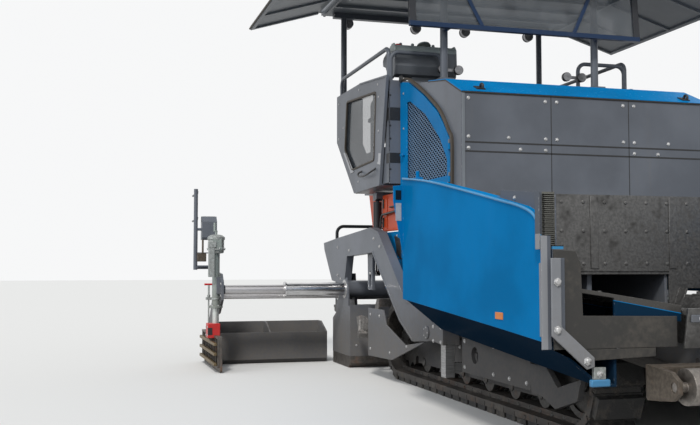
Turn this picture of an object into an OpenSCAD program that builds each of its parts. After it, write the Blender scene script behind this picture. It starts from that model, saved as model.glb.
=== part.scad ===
/* [Track] */
// distance from the machine's centre line to the middle of a track
track_y = 970; // [900:5:1050]
// width of a track shoe
shoe_w = 320; // [250:5:400]
// radius of the chain's pin line round an end wheel
pin_r = 290; // [240:5:330]
// shoes in one track
shoe_n = 50; // [40:1:70]
// height of the steel shoe over the pin line
shoe_h = 33; // [20:1:45]
// height of the pad on a shoe
pad_h = 42; // [20:1:60]
// gap between two shoes
shoe_gap = 12; // [6:1:30]
// depth of the chain links inside the pin line
link_in = 45; // [30:1:60]
// width of the chain links
link_w = 130; // [80:5:180]
// place of the idler's axle along the machine
idler_x = 2150; // [1900:10:2400]
// place of the sprocket's axle along the machine
sprocket_x = -970; // [-1200:10:-800]
// radius of a bottom roller
roller_r = 88; // [60:2:110]
// number of bottom rollers under one frame
roller_n = 6; // [4:1:9]
// radius of a top roller
top_roller_r = 55; // [40:1:80]
// teeth of the drive sprocket
tooth_n = 11; // [8:1:16]

/* [Frame] */
// outside of the long frame plates
frame_y = 685; // [600:5:780]
// thickness of the long frame plates
frame_t = 25; // [10:1:40]
// rear end of the frame plates
frame_rear = -1420; // [-1500:10:-1300]
// front end of the frame plates
frame_front = 2940; // [2800:10:3000]
// underside of the conveyor tunnel
tunnel_z0 = 350; // [300:10:420]
// top of the conveyor floor
floor_z = 590; // [540:5:650]
// top of the deck that carries the hood
deck_z = 990; // [900:10:1100]

/* [Conveyors] */
// inner edge of a conveyor
conveyor_in = 50; // [20:5:90]
// outer edge of a conveyor
conveyor_out = 600; // [500:5:640]
// radius of the conveyor chain round its end wheels
conveyor_r = 92; // [60:2:110]
// height of the conveyor's shafts
conveyor_z = 525; // [480:5:560]
// rear shaft of the conveyor
conveyor_rear = -1280; // [-1350:5:-1200]
// front shaft of the conveyor
conveyor_front = 2810; // [2600:10:2850]
// slats on one conveyor
slat_n = 30; // [20:1:40]

/* [Hopper] */
// height of a wing's hinge axis
hinge_z = 800; // [760:5:840]
// distance of a wing's hinge axis from the centre line
hinge_y = 820; // [790:5:850]
// outer face of a lowered wing
wing_y = 1650; // [1600:5:1700]
// thickness of a wing's side wall
wing_t = 55; // [30:5:80]
// rear end of a wing
wing_rear = 690; // [670:5:720]
// front end of a wing
wing_front = 2920; // [2850:5:2950]
// top of the wing at its rear end
wing_top = 1690; // [1600:10:1750]
// width of the rubber flap on a wing's front
flap_w = 715; // [600:5:720]
// thickness of a rubber flap
flap_t = 12; // [8:1:20]
// length of the plate that lengthens a wing at its top
extra_len = 660; // [500:10:700]
// diameter of the hinge pins of the wings
wing_pin_d = 40; // [30:1:50]
// place of the wing cylinders along the machine
wing_cyl_x = 2700; // [2660:5:2750]

/* [Push beam] */
// place of the beam's upright pivot
beam_pivot_x = 2985; // [2970:5:3000]
// height of the push rollers
push_z = 460; // [420:5:500]
// radius of a push roller
push_r = 90; // [80:1:105]
// length of a push roller
push_len = 1080; // [900:10:1100]
// place of the push rollers' axle
push_x = 3310; // [3290:5:3320]

/* [Hood] */
// how far the hood's sides stand inside the tracks' outer faces
hood_in = 10; // [0:2:30]
// front face of the hood
hood_x = 550; // [500:5:600]
// height of the hood's front edge
hood_z = 2390; // [2300:5:2450]
// rear end of the hood
hood_rear = -840; // [-900:5:-780]
// thickness of a side door
door_t = 20; // [12:1:24]
// pitch of the slots in a door's grille
slot_pitch = 42; // [34:2:60]

/* [Platform] */
// how far the platform stands out over the tow arms' outer faces
platform_out = 22; // [14:1:30]
// top of the platform floor
platform_z = 1840; // [1800:5:1900]
// thickness of the footwell panels
panel_t = 20; // [10:1:30]
// diameter of the handrail tubes
rail_d = 38; // [30:1:50]
// distance of the console's middle from the centre line, to the right
console_y = 850; // [0:10:860]
// width of the console
console_w = 600; // [400:10:650]

/* [Canopy] */
// underside of the roof
roof_z = 3810; // [3700:10:3900]
// half of the roof's width
roof_y = 1400; // [1300:10:1450]
// front edge of the roof
roof_front = -250; // [-400:10:-100]
// rear edge of the roof
roof_rear = -2750; // [-2900:10:-2600]
// width of a folding sun wing
sun_w = 800; // [600:10:900]
// slope of a lowered sun wing
sun_slope = 17; // [5:1:30]

/* [Augers] */
// place of the auger shaft along the machine
auger_x = -1750; // [-1760:2:-1740]
// height of the auger shaft
auger_z = 365; // [350:5:420]
// radius of the auger flights
auger_r = 185; // [150:5:190]
// pitch of the auger flights
auger_pitch = 380; // [300:10:450]
// outer end of an auger
auger_out = 1260; // [1150:10:1270]
// diameter of the auger shaft
auger_shaft = 76; // [60:2:100]

/* [Tow arms] */
// gap between a track shoe and the tow arm beside it
arm_gap = 42; // [38:1:50]
// thickness of a tow arm
arm_t = 76; // [65:1:80]
// thickness of the flange on a tow arm
flange_t = 14; // [8:1:20]
// place of the tow pivot along the machine
tow_x = 200; // [150:5:250]
// height of the tow pivot
tow_z = 515; // [480:5:560]
// diameter of the tow pin
tow_pin = 50; // [40:1:70]
// middle of the guide post along the machine
post_x = 470; // [450:5:490]
// side of the square guide post
post_w = 90; // [60:2:110]

/* [Screed] */
// front face of the main screed
screed_front = -2060; // [-2100:5:-2050]
// rear face of the main screed
screed_rear = -2720; // [-2800:5:-2600]
// half of the main screed's width
screed_y = 1270; // [1200:5:1300]
// height of the sole over the ground at rest
sole_z = 3; // [0:1:10]
// top of the screed's box frame
screed_top = 480; // [400:10:550]
// rear face of the extension screeds
ext_rear = -3130; // [-3250:10:-3050]
// stroke of one extension screed
stroke = 1250; // [1000:10:1300]
// centre of the telescoping tubes along the machine
tube_x = -2250; // [-2300:5:-2200]
// height of the telescoping tubes
tube_z = 800; // [760:5:860]
// diameter of the fixed outer tube
tube_d0 = 175; // [150:1:200]
// diameter of the middle tube
tube_d1 = 135; // [120:1:150]
// diameter of the inner tube
tube_d2 = 96; // [80:1:110]
// radial clearance of one tube in the next
tube_fit = 0.05; // [0.02:0.01:0.1]
// wall of the telescoping tubes
tube_wall = 12; // [8:1:15]
// diameter of the rods of the extension cylinders
ram_d = 45; // [35:1:60]
// outer diameter of the extension cylinders
ram_od = 80; // [70:1:90]
// thickness of an end gate
gate_t = 20; // [10:1:30]
// height of an end gate
gate_h = 350; // [300:10:420]
// radius of the jack tube over an end gate
jack_r = 37.5; // [30:0.5:45]
// radius of the gate's rod inside the jack tube
jack_rod = 33; // [24:1:35]

/* [Fits] */
// clearance of a turning pin in its bore, on the radius
pin_fit = 0.05; // [0.02:0.01:0.1]
// gap at faces that slide or turn beside each other
side_gap = 0.3; // [0.2:0.1:1]
// clearance between moving pieces that must not meet
free_gap = 6; // [5:1:15]

/* [Hidden] */
$fn = 48;

blue = [0.05, 0.25, 0.55];
grey = [0.35, 0.37, 0.39];
dark = [0.12, 0.12, 0.13];
steel = [0.6, 0.6, 0.62];
orange = [0.8, 0.25, 0.08];
rubber = [0.06, 0.06, 0.06];

shoe_top = shoe_h + pad_h;
track_r = pin_r + shoe_top;
track_len = idler_x - sprocket_x;
track_loop = 2 * track_len + 2 * PI * pin_r;
shoe_pitch = track_loop / shoe_n;
chain_in = pin_r - link_in;
conveyor_len = conveyor_front - conveyor_rear;
conveyor_loop = 2 * conveyor_len + 2 * PI * conveyor_r;
roller_z = track_r - chain_in + roller_r + side_gap;
level_x = post_x - 150;
level_r = 22;
arm_y0 = track_y + shoe_w / 2 + arm_gap;
arm_y1 = arm_y0 + arm_t;
arm_mid = (arm_y0 + arm_y1) / 2;
hood_y = track_y + shoe_w / 2 - hood_in;
platform_y = arm_y1 + platform_out;
deck_y = platform_y - 290;
skirt_y = track_y + shoe_w / 2 + 35;
deflector_y = arm_y1 + 10.3;
gate_x0 = ext_rear - 10;
gate_x1 = -1950;
bracket_y = screed_y + stroke + 50;
middle_end = bracket_y - 24 - free_gap - stroke / 2;
gate_y = bracket_y + 40;
jack_x = tube_x - 20;
jack_y = gate_y + 2;
mast_x = -2600;
mast_y = gate_y + 170;
ram_x_left = -2420;
ram_x_right = -2520;
ram_z = 720;
lift_x = -1665;
lift_y = arm_y0 - 77;
lift_top = 1720;
lift_low = 960;
slot_r = 31;
apron_x = 2965;
apron_z = 612;
apron_pin = 10;
// holes and bolts that clamp a flap, as y and z
flap_bolts = [[wing_y - 50, 1070], [wing_y - 52, 866], [wing_y - 60, 740]];
roof_hinge = roof_y + 40;
hood_top = hood_z + 150;
hood_floor = deck_z + 620;
door_pin = [368, hood_y + 26];
lid_pin = [-178, hood_z + 150 + 82];
eye_drift = 18;
rail_bend = 80;
hanger_y = 1125;
rail_y = platform_y - panel_t - rail_d / 2 - side_gap;
front_wall = hood_rear - 24;
front_rail = front_wall - rail_d / 2 - side_gap;
post_front = -680;
post_rear = -2600;
screen_x = -520;
screen_z = roof_z - 640;
slot_len = 105;
flight_t = 14;
flight_steps = 18;
ext_y0 = screed_y + 60;
ext_y1 = bracket_y;
wing_eye0 = [wing_cyl_x, frame_y + 40, 450];
wing_eye1 = [wing_cyl_x, 1176, 605];

// one copy on the left and its mirror image on the right
module pair() {
    children();
    mirror([0, 1, 0]) children();
}
module right_side() {
    mirror([0, 1, 0]) children();
}
module block(x0, x1, y0, y1, z0, z1) {
    translate([x0, y0, z0]) cube([x1 - x0, y1 - y0, z1 - z0]);
}
// a side outline in x and z, from y0 to y1
module side_plate(y0, y1, points) {
    translate([0, y1, 0]) rotate([90, 0, 0]) linear_extrude(y1 - y0) polygon(points);
}
// a cross outline in y and z, from x0 to x1
module cross_plate(x0, x1, points) {
    translate([x0, 0, 0]) rotate([90, 0, 90]) linear_extrude(x1 - x0) polygon(points);
}
module bar_y(x, z, y0, y1, r) {
    translate([x, y1, z]) rotate([90, 0, 0]) cylinder(h = y1 - y0, r = r);
}
module bar_x(y, z, x0, x1, r) {
    translate([x0, y, z]) rotate([0, 90, 0]) cylinder(h = x1 - x0, r = r);
}
module bar_z(x, y, z0, z1, r) {
    translate([x, y, z0]) cylinder(h = z1 - z0, r = r);
}
// a straight tube between two points
module rod(a, b, r) {
    v = b - a;
    translate(a) rotate([0, acos(v[2] / norm(v)), atan2(v[1], v[0])]) cylinder(h = norm(v), r = r);
}
// an upright hoop of tube along x: w wide, h high, with round corners
module hoop(w, h, bend, r) {
    for (x = [0, w]) translate([x, 0, 0]) cylinder(h = h - bend, r = r);
    translate([w - bend, 0, h - bend]) hoop_corner(bend, r);
    translate([bend, 0, h - bend]) mirror([1, 0, 0]) hoop_corner(bend, r);
    translate([bend, 0, h]) rotate([0, 90, 0]) cylinder(h = w - 2 * bend, r = r);
}
module hoop_corner(bend, r) {
    rotate([90, 0, 0]) rotate_extrude(angle = 90) translate([bend, 0]) circle(r = r);
}

// place and outward direction on a loop round two wheels of radius r, s measured along it
function loop_at(s, r, x0, x1) =
    let (l = x1 - x0, a = PI * r, t = s % (2 * l + 2 * a))
    t < l ? [x0 + t, -r, 0, -1]
    : t < l + a ? let (q = (t - l) / r * 180 / PI) [x1 + r * sin(q), -r * cos(q), sin(q), -cos(q)]
    : t < 2 * l + a ? [x1 - (t - l - a), r, 0, 1]
    : let (q = (t - 2 * l - a) / r * 180 / PI) [x0 - r * sin(q), r * cos(q), -sin(q), cos(q)];
// corner of a shoe: u along the shoe, h over the pin line
function shoe_point(p, u, h) = [p[0] - p[3] * u + p[2] * h, p[1] + p[2] * u + p[3] * h];
// comb outline of shoes of width w, from height h0 to h1 over the pin line
function comb(n, pitch, w, h0, h1, r, x0, x1) = [
    for (i = [0 : n - 1])
        let (p = loop_at((i + 0.5) * pitch, r, x0, x1))
        for (c = [[-w / 2, h0], [-w / 2, h1], [w / 2, h1], [w / 2, h0]]) shoe_point(p, c[0], c[1])];
module stadium(y0, y1, z, r, x0, x1) {
    bar_y(x0, z, y0, y1, r);
    bar_y(x1, z, y0, y1, r);
    block(x0, x1, y0, y1, z - r, z + r);
}

module track_chains() {
    color(dark) pair() translate([0, track_y, track_r]) difference() {
        union() {
            side_plate(-shoe_w / 2, shoe_w / 2, comb(shoe_n, shoe_pitch, shoe_pitch - shoe_gap,
                0, shoe_h, pin_r, sprocket_x, idler_x));
            side_plate(-shoe_w / 2 + 12, shoe_w / 2 - 12, comb(shoe_n, shoe_pitch,
                shoe_pitch - shoe_gap - 20, shoe_h - 5, shoe_top, pin_r, sprocket_x, idler_x));
            stadium(-link_w / 2, link_w / 2, 0, pin_r + shoe_h / 2, sprocket_x, idler_x);
        }
        stadium(-link_w / 2 - 1, link_w / 2 + 1, 0, chain_in, sprocket_x, idler_x);
        pair() stadium(link_w / 2, shoe_w, 0, pin_r - 12, sprocket_x, idler_x);
    }
}

module track_roller(x, z, r) {
    for (s = [-1, 1]) translate([0, s * 32, 0]) bar_y(x, z, -16, 16, r);
    bar_y(x, z, -20, 20, r - 15);
    bar_y(x, z, -link_w / 2 - 10, link_w / 2 + 10, 22);
}
function roller_place(i) = sprocket_x + 480 + i * (track_len - 960) / (roller_n - 1);

module track_frames() {
    color(grey) pair() translate([0, track_y, 0]) {
        difference() {
            for (s = [-1, 1]) side_plate(s * 66 - 8, s * 66 + 8, [[sprocket_x + 330, 190],
                [idler_x - 330, 190], [idler_x - 250, 300], [idler_x + 60, 325],
                [idler_x + 60, 405], [idler_x - 250, 430], [sprocket_x + 330, 480]]);
            for (i = [0 : roller_n - 1]) bar_y(roller_place(i), roller_z, -80, 80, 22 + pin_fit);
            bar_y(idler_x, track_r, -80, 80, 30 + pin_fit);
        }
        block(sprocket_x + 345, idler_x - 345, -58, 58, 330, 430);
        for (x = [300, 1400]) {
            block(x - 55, x + 55, -60, 60, 425, track_r + chain_in - 2 * top_roller_r - 4);
            for (s = [-1, 1]) side_plate(s * 50 - 6, s * 50 + 6, [[x - 30, 425], [x + 30, 425],
                [x + 20, 575], [x - 20, 575]]);
        }
        for (x = [100, 1500]) block(x - 110, x + 110, -track_y + frame_y + 0.3, -58, 250, 420);
    }
}
module track_rollers() {
    color(dark) pair() translate([0, track_y, 0]) {
        for (i = [0 : roller_n - 1]) track_roller(roller_place(i), roller_z, roller_r);
        for (x = [300, 1400])
            bar_y(x, track_r + chain_in - top_roller_r - side_gap, -43, 43, top_roller_r);
    }
}
module idler_wheels() {
    color(dark) pair() translate([0, track_y, 0]) difference() {
        union() {
            bar_y(idler_x, track_r, -45, 45, chain_in - side_gap);
            bar_y(idler_x, track_r, -75, 75, 30);
            bar_y(idler_x, track_r, -55, 55, 80);
        }
        pair() translate([0, 30, 0]) difference() {
            bar_y(idler_x, track_r, 0, 40, chain_in - 40);
            bar_y(idler_x, track_r, -1, 41, 80);
        }
    }
}
module drive_sprockets() {
    color(dark) pair() translate([0, track_y, 0]) {
        side_plate(-28, 28, [for (i = [0 : tooth_n * 4 - 1])
            let (q = i * 360 / tooth_n / 4, r = i % 4 < 2 ? chain_in - 1 : chain_in - 38)
            [sprocket_x + r * cos(q), track_r + r * sin(q)]]);
        bar_y(sprocket_x, track_r, frame_y - track_y + 0.3, 30, 150);
        bar_y(sprocket_x, track_r, 30, 75, 110);
        for (i = [0 : 7]) bar_y(sprocket_x + 85 * cos(i * 45), track_r + 85 * sin(i * 45), 70, 88, 11);
    }
}

module chassis_frame() {
    color(grey) {
        pair() {
            difference() {
                side_plate(frame_y - frame_t, frame_y, [[frame_rear, tunnel_z0], [2750, tunnel_z0],
                    [frame_front, 400], [frame_front, floor_z + 20], [hood_x, floor_z + 20],
                    [hood_x, deck_z - 15], [frame_rear, deck_z - 15]]);
                for (x = [conveyor_rear, conveyor_front])
                    bar_y(x, conveyor_z, frame_y - 60, frame_y + 1, 20 + pin_fit);
            }
            // arms behind the tracks that carry the deflector plates
            block(frame_rear, frame_rear + 28, frame_y - 5, deflector_y - 0.3, 450, 560);
            // lugs of the wing cylinders
            for (s = [-1, 1]) side_plate(frame_y - 1, frame_y + 75, [[wing_cyl_x + s * 34 - 8, 390],
                [wing_cyl_x + s * 34 + 8, 390], [wing_cyl_x + s * 34 + 8, 500],
                [wing_cyl_x + s * 34 - 8, 500]]);
            bar_x(frame_y + 40, 450, wing_cyl_x - 42, wing_cyl_x + 42, 15);
            // rear uprights under the platform
            side_plate(600, 640, [[frame_rear, deck_z - 20], [-1150, deck_z - 20], [-1150, 1780],
                [-1600, 1780]]);
            block(-1600, -1540, 600, lift_y + 50, 1700, 1765);
            for (s = [-1, 1]) side_plate(lift_y + s * 28 - 7, lift_y + s * 28 + 7,
                [[lift_x - 35, lift_top - 35], [lift_x + 35, lift_top - 35], [-1560, lift_top + 5],
                [-1560, 1765], [lift_x - 35, 1765]]);
            bar_y(lift_x, lift_top, lift_y - 36, lift_y + 36, 15);
            block(lift_x - 35, -1560, lift_y - 36, lift_y + 36, 1752, 1765);
        }
        // deck, floor under the conveyors and cross pieces
        block(frame_rear, hood_x, -hood_y + 25, hood_y - 25, deck_z - 15, deck_z);
        block(frame_rear + 40, 2700, -frame_y + 5, frame_y - 5, tunnel_z0, tunnel_z0 + 12);
        block(frame_front - 25, frame_front, -frame_y, frame_y, 400, 562);
        block(-1330, 500, -20, 20, tunnel_z0, deck_z - 10);
        block(490, 2700, -20, 20, tunnel_z0, floor_z + 30 - side_gap);
        block(frame_rear, frame_rear + 20, -frame_y, frame_y, 760, deck_z);
        // eyes for towing the machine
        pair() difference() {
            side_plate(185, 215, [[frame_front - 5, 400], [3012, 400], [3012, 500], [frame_front - 5, 540]]);
            bar_y(2975, 450, 180, 220, 26);
        }
        // pivot block of the push beam
        block(frame_front - 5, beam_pivot_x - 10, -120, 120, 505, 555);
        block(frame_front - 5, beam_pivot_x - 10, -120, 120, 370, 415);
        for (z = [[370, 415], [505, 555]]) {
            block(frame_front, beam_pivot_x, -70, 70, z[0], z[1]);
            bar_z(beam_pivot_x, 0, z[0], z[1], 60);
        }
        bar_z(beam_pivot_x, 0, 370, 555, 25);
        // hinge lugs and pins of the apron
        for (y = [-600, 0, 600]) {
            bar_y(apron_x, apron_z, y - 75, y + 75, apron_pin);
            for (s = [-1, 1]) translate([0, y + s * (66 + side_gap), 0]) side_plate(-6, 6,
                [[frame_front - 25, 555], [frame_front, 555], [apron_x + 18, apron_z - 18],
                [apron_x + 18, apron_z + 18], [apron_x - 18, apron_z + 18], [frame_front - 25, 600]]);
        }
        // rails of the auger carriage
        pair() block(-1445, frame_rear, 130, 190, 380, 960);
    }
}

module hopper_floor() {
    color(grey) {
        pair() {
            cross_plate(wing_rear - 20, frame_front - 5, [[frame_y, floor_z + 22], [frame_y, floor_z + 34],
                [frame_y - 30, floor_z + 34], [frame_y - 30, floor_z + 48],
                [hinge_y - 55, hinge_z + 15], [hinge_y - 42, hinge_z + 5]]);
            for (i = [0 : 3]) {
                bar_x(hinge_y, hinge_z, wing_rear + 90 + i * 560, wing_rear + 250 + i * 560, 34);
                cross_plate(wing_rear + 90 + i * 560, wing_rear + 250 + i * 560,
                    [[hinge_y - 60, hinge_z - 20], [hinge_y, hinge_z - 34],
                    [hinge_y, hinge_z + 10], [hinge_y - 60, hinge_z + 12]]);
            }
            bar_x(hinge_y, hinge_z, wing_rear + 10, wing_front - 20, wing_pin_d / 2);
        }
        // rear wall over the tunnel mouths
        cross_plate(hood_x + 20, hood_x + 35, [[-hood_y, 860], [-790, 860], [-790, 1000], [790, 1000],
            [790, 860], [hood_y, 860], [hood_y, 1610], [-hood_y, 1610]]);
        block(hood_x, hood_x + 25, -hood_y, hood_y, 1560, 1610);
        block(hood_x, hood_x + 25, -hood_y, hood_y, 975, 1010);
        pair() cross_plate(hood_x + 20, wing_rear - 12, [[frame_y - 5, floor_z + 22], [frame_y + 12,
            floor_z + 22], [790, 862], [775, 862]]);
        pair() cross_plate(hood_x + 20, hood_x + 35, [[frame_y - 5, floor_z + 22], [790, 820], [790, 1000],
            [frame_y - 5, 1000]]);
        // roof plate in the middle between the conveyors
        block(520, frame_front - 30, -35, 35, floor_z + 30, floor_z + 45);
    }
}

module slat_conveyors() {
    color(steel) pair() {
        for (y = [conveyor_in, conveyor_out - 25]) difference() {
            stadium(y, y + 25, conveyor_z, conveyor_r, conveyor_rear, conveyor_front);
            stadium(y - 1, y + 26, conveyor_z, conveyor_r - 28, conveyor_rear, conveyor_front);
        }
        for (i = [0 : slat_n - 1]) {
            p = loop_at((i + 0.5) * conveyor_loop / slat_n, conveyor_r - 8, conveyor_rear, conveyor_front);
            translate([p[0], 0, conveyor_z + p[1]]) rotate([0, atan2(p[2], p[3]), 0])
                block(-22, 22, conveyor_in + 12, conveyor_out - 12, -8, 8);
        }
        for (x = [conveyor_rear, conveyor_front]) {
            bar_y(x, conveyor_z, conveyor_in - 20, frame_y - 0.3, 20);
            for (y = [conveyor_in + 4, conveyor_out - 21]) bar_y(x, conveyor_z, y, y + 17, conveyor_r - 28);
        }
    }
}

function wing_outline() = [[wing_rear, wing_top], [1260, wing_top - 70], [1940, wing_top - 190],
    [2370, wing_top - 270], [2630, wing_top - 320], [2800, wing_top - 380], [2860, wing_top - 490],
    [2890, wing_top - 620], [wing_front, 650], [2360, 690], [1610, 740], [wing_rear, 800]];
module hopper_wing() {
    difference() {
        union() {
            side_plate(wing_y - wing_t, wing_y, wing_outline());
            // top flange
            side_plate(wing_y - 95, wing_y, [[wing_rear, wing_top - 38], [wing_rear, wing_top],
                [1260, wing_top - 70], [1940, wing_top - 190], [2370, wing_top - 270],
                [2630, wing_top - 320], [2615, wing_top - 358], [1940, wing_top - 228],
                [1260, wing_top - 108]]);
            // floor plate of the wing
            cross_plate(wing_rear, wing_front, [[hinge_y + 38, hinge_z + 18], [hinge_y + 38, hinge_z + 36],
                [wing_y - wing_t + 5, hinge_z + 150], [wing_y - wing_t + 5, hinge_z + 128]]);
            // box under the wing, sloping down to the front
            intersection() {
                block(wing_rear, wing_front, 1200, wing_y, 200, 1000);
                translate([wing_rear, 0, 795]) rotate([0, 4, 0]) difference() {
                    cross_plate(-150, 2500, [[wing_y, 20], [1350, -220], [1255, -220], [1255, 120],
                        [wing_y, 120]]);
                    cross_plate(-200, 2550, [[wing_y - 16, 28], [1346, -205], [1270, -205], [1270, 50],
                        [wing_y - 16, 50]]);
                }
            }
            // cross ribs over the track
            for (x = [wing_rear, 1420, 2150, wing_front - 15]) cross_plate(x, x + 15,
                [[hinge_y + 40, hinge_z + 25], [hinge_y + 40, 750], [1150, 750], [1262, 640],
                [1262, 880]]);
            // hinge tubes
            for (i = [0 : 2]) {
                bar_x(hinge_y, hinge_z, wing_rear + 270 + i * 560, wing_rear + 630 + i * 560, 34);
                cross_plate(wing_rear + 270 + i * 560, wing_rear + 630 + i * 560,
                    [[hinge_y, hinge_z - 20], [hinge_y + 60, hinge_z - 5], [hinge_y + 60, hinge_z + 38],
                    [hinge_y, hinge_z + 20]]);
            }
            // lugs for the cylinder rod
            for (s = [-1, 1]) translate([s * 30, 0, 0]) cross_plate(wing_cyl_x - 8, wing_cyl_x + 8,
                [[1150, 575], [1245, 560], [1262, 600], [1262, 720], [1150, 645]]);
            bar_x(wing_eye1[1], wing_eye1[2], wing_cyl_x - 38, wing_cyl_x + 38, 15);
        }
        bar_x(hinge_y, hinge_z, wing_rear - 10, wing_front + 10, wing_pin_d / 2 + pin_fit);
    }
    // front post, clamp bar in front of the flap and the bolts through it
    block(wing_front - 4, wing_front + 14, wing_y - 90, wing_y - 30, 660, 1150);
    block(wing_front + 14.6 + flap_t, wing_front + 24 + flap_t, wing_y - 83, wing_y - 32, 720, 1086);
    for (b = flap_bolts) bar_x(b[0], b[1], wing_front + 10, wing_front + 34 + flap_t, 9);
    // folded strip at the front edge
    block(wing_front - 70, wing_front + 10, wing_y - 3, wing_y + 6, 680, 1060);
    block(wing_front + 2, wing_front + 10, wing_y - 20, wing_y + 34, 620, 1200);
    // plate that lengthens the wall over its sloping top, with the ribbed slide at its front
    side_plate(wing_y - wing_t - 15, wing_y - wing_t + 1, [[wing_front - 60 - extra_len, wing_top - 400],
        [wing_front + 10 - extra_len, wing_top - 205], [wing_front - 180, wing_top - 252],
        [wing_front - 60, wing_top - 260], [wing_front - 60, wing_top - 560],
        [wing_front - 320, wing_top - 560]]);
    translate([wing_front - 64, wing_y - wing_t - 1, wing_top - 560]) {
        block(0, 6, -14, 86, 0, 300);
        for (y = [-14, 79]) block(0, 44, y, y + 7, 0, 300);
        for (i = [0 : 13]) block(2, 34, -8, 48, 12 + i * 21, 18 + i * 21);
    }
    // end plate at the rear
    cross_plate(wing_rear, wing_rear + 12, [[wing_y - 3, wing_top - 50], [wing_y + 75, wing_top - 58],
        [wing_y + 75, wing_top - 170], [wing_y - 3, wing_top - 590]]);
    // post and rest on the top edge, for the lock of the folded wing
    bar_z(wing_rear + 120, wing_y - 75, wing_top - 30, wing_top + 45, 14);
    block(wing_rear + 60, wing_rear + 180, wing_y - 94, wing_y - 56, wing_top - 40, wing_top - 4);
}
module hopper_wing_left() {
    color(blue) hopper_wing();
}
module hopper_wing_right() {
    color(blue) right_side() hopper_wing();
}
module wing_flap() {
    difference() {
        cross_plate(wing_front + 14.3, wing_front + 14.3 + flap_t, [[wing_y - 30 - flap_w, 620],
            [wing_y - 30, 620], [wing_y - 30, 1130], [wing_y - 150, 1120], [wing_y - 180, 1060],
            [wing_y - 190, 790], [wing_y - 30 - flap_w, 780]]);
        for (b = flap_bolts) bar_x(b[0], b[1], wing_front, wing_front + 60, 9.3);
    }
}
module wing_flap_left() {
    color(rubber) wing_flap();
}
module wing_flap_right() {
    color(rubber) right_side() wing_flap();
}

// a cylinder between two eyes in the plane across the machine
module wing_cylinder() {
    v = wing_eye1 - wing_eye0;
    n = norm(v);
    difference() {
        union() {
            rod(wing_eye0 + v * (75 / n), wing_eye0 + v * (395 / n), 38);
            rod(wing_eye0 + v * (20 / n), wing_eye0 + v * (80 / n), 22);
            bar_x(wing_eye0[1], wing_eye0[2], wing_cyl_x - 25, wing_cyl_x + 25, 30);
        }
        bar_x(wing_eye0[1], wing_eye0[2], wing_cyl_x - 30, wing_cyl_x + 30, 15 + pin_fit);
        rod(wing_eye0 + v * (95 / n), wing_eye0 + v * (400 / n), 20 + pin_fit);
    }
}
module wing_rod() {
    v = wing_eye1 - wing_eye0;
    n = norm(v);
    difference() {
        union() {
            rod(wing_eye0 + v * (110 / n), wing_eye0 + v * ((n - 40) / n), 20);
            bar_x(wing_eye1[1], wing_eye1[2], wing_cyl_x - 21, wing_cyl_x + 21, 44);
        }
        bar_x(wing_eye1[1], wing_eye1[2], wing_cyl_x - 30, wing_cyl_x + 30, 15 + eye_drift);
    }
}
module wing_cylinder_left() {
    color(dark) wing_cylinder();
}
module wing_cylinder_right() {
    color(dark) right_side() wing_cylinder();
}
module wing_rod_left() {
    color(steel) wing_rod();
}
module wing_rod_right() {
    color(steel) right_side() wing_rod();
}

module hopper_apron() {
    color(grey) difference() {
        union() {
            side_plate(-880, 880, [[apron_x - 5, apron_z], [apron_x + 8, apron_z],
                [apron_x + 45, apron_z + 210], [apron_x + 33, apron_z + 212]]);
            for (y = [-600, 0, 600]) bar_y(apron_x, apron_z, y - 60, y + 60, 20);
        }
        for (y = [-600, 0, 600]) {
            bar_y(apron_x, apron_z, y - 62, y + 62, apron_pin + pin_fit);
            for (s = [-1, 1]) translate([0, y + s * 69, 0])
                block(apron_x - 60, apron_x + 60, -9, 9, apron_z - 5, apron_z + 34);
        }
    }
}

module push_beam() {
    color(grey) difference() {
        union() {
            block(beam_pivot_x + 70, beam_pivot_x + 190, -1170, 1170, 375, 545);
            block(beam_pivot_x, beam_pivot_x + 80, -40, 40, 416, 504);
            bar_z(beam_pivot_x, 0, 415 + side_gap, 505 - side_gap, 40);
            for (y = [-1185, -12, 1161]) side_plate(y, y + 24, [[beam_pivot_x + 100, 370],
                [push_x - 20, 390], [push_x + 40, push_z - 30], [push_x + 40, push_z + 30],
                [push_x - 20, 530], [beam_pivot_x + 100, 550]]);
        }
        bar_z(beam_pivot_x, 0, 400, 520, 25 + pin_fit);
        for (s = [-1, 1]) bar_y(push_x, push_z, s * 600 - 620, s * 600 + 620, 25 + pin_fit);
    }
}
module push_roller() {
    bar_y(push_x, push_z, 40, 40 + push_len, push_r);
    bar_y(push_x, push_z, 14, 1180, 25);
}
module push_roller_left() {
    color(steel) push_roller();
}
module push_roller_right() {
    color(steel) right_side() push_roller();
}

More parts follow.
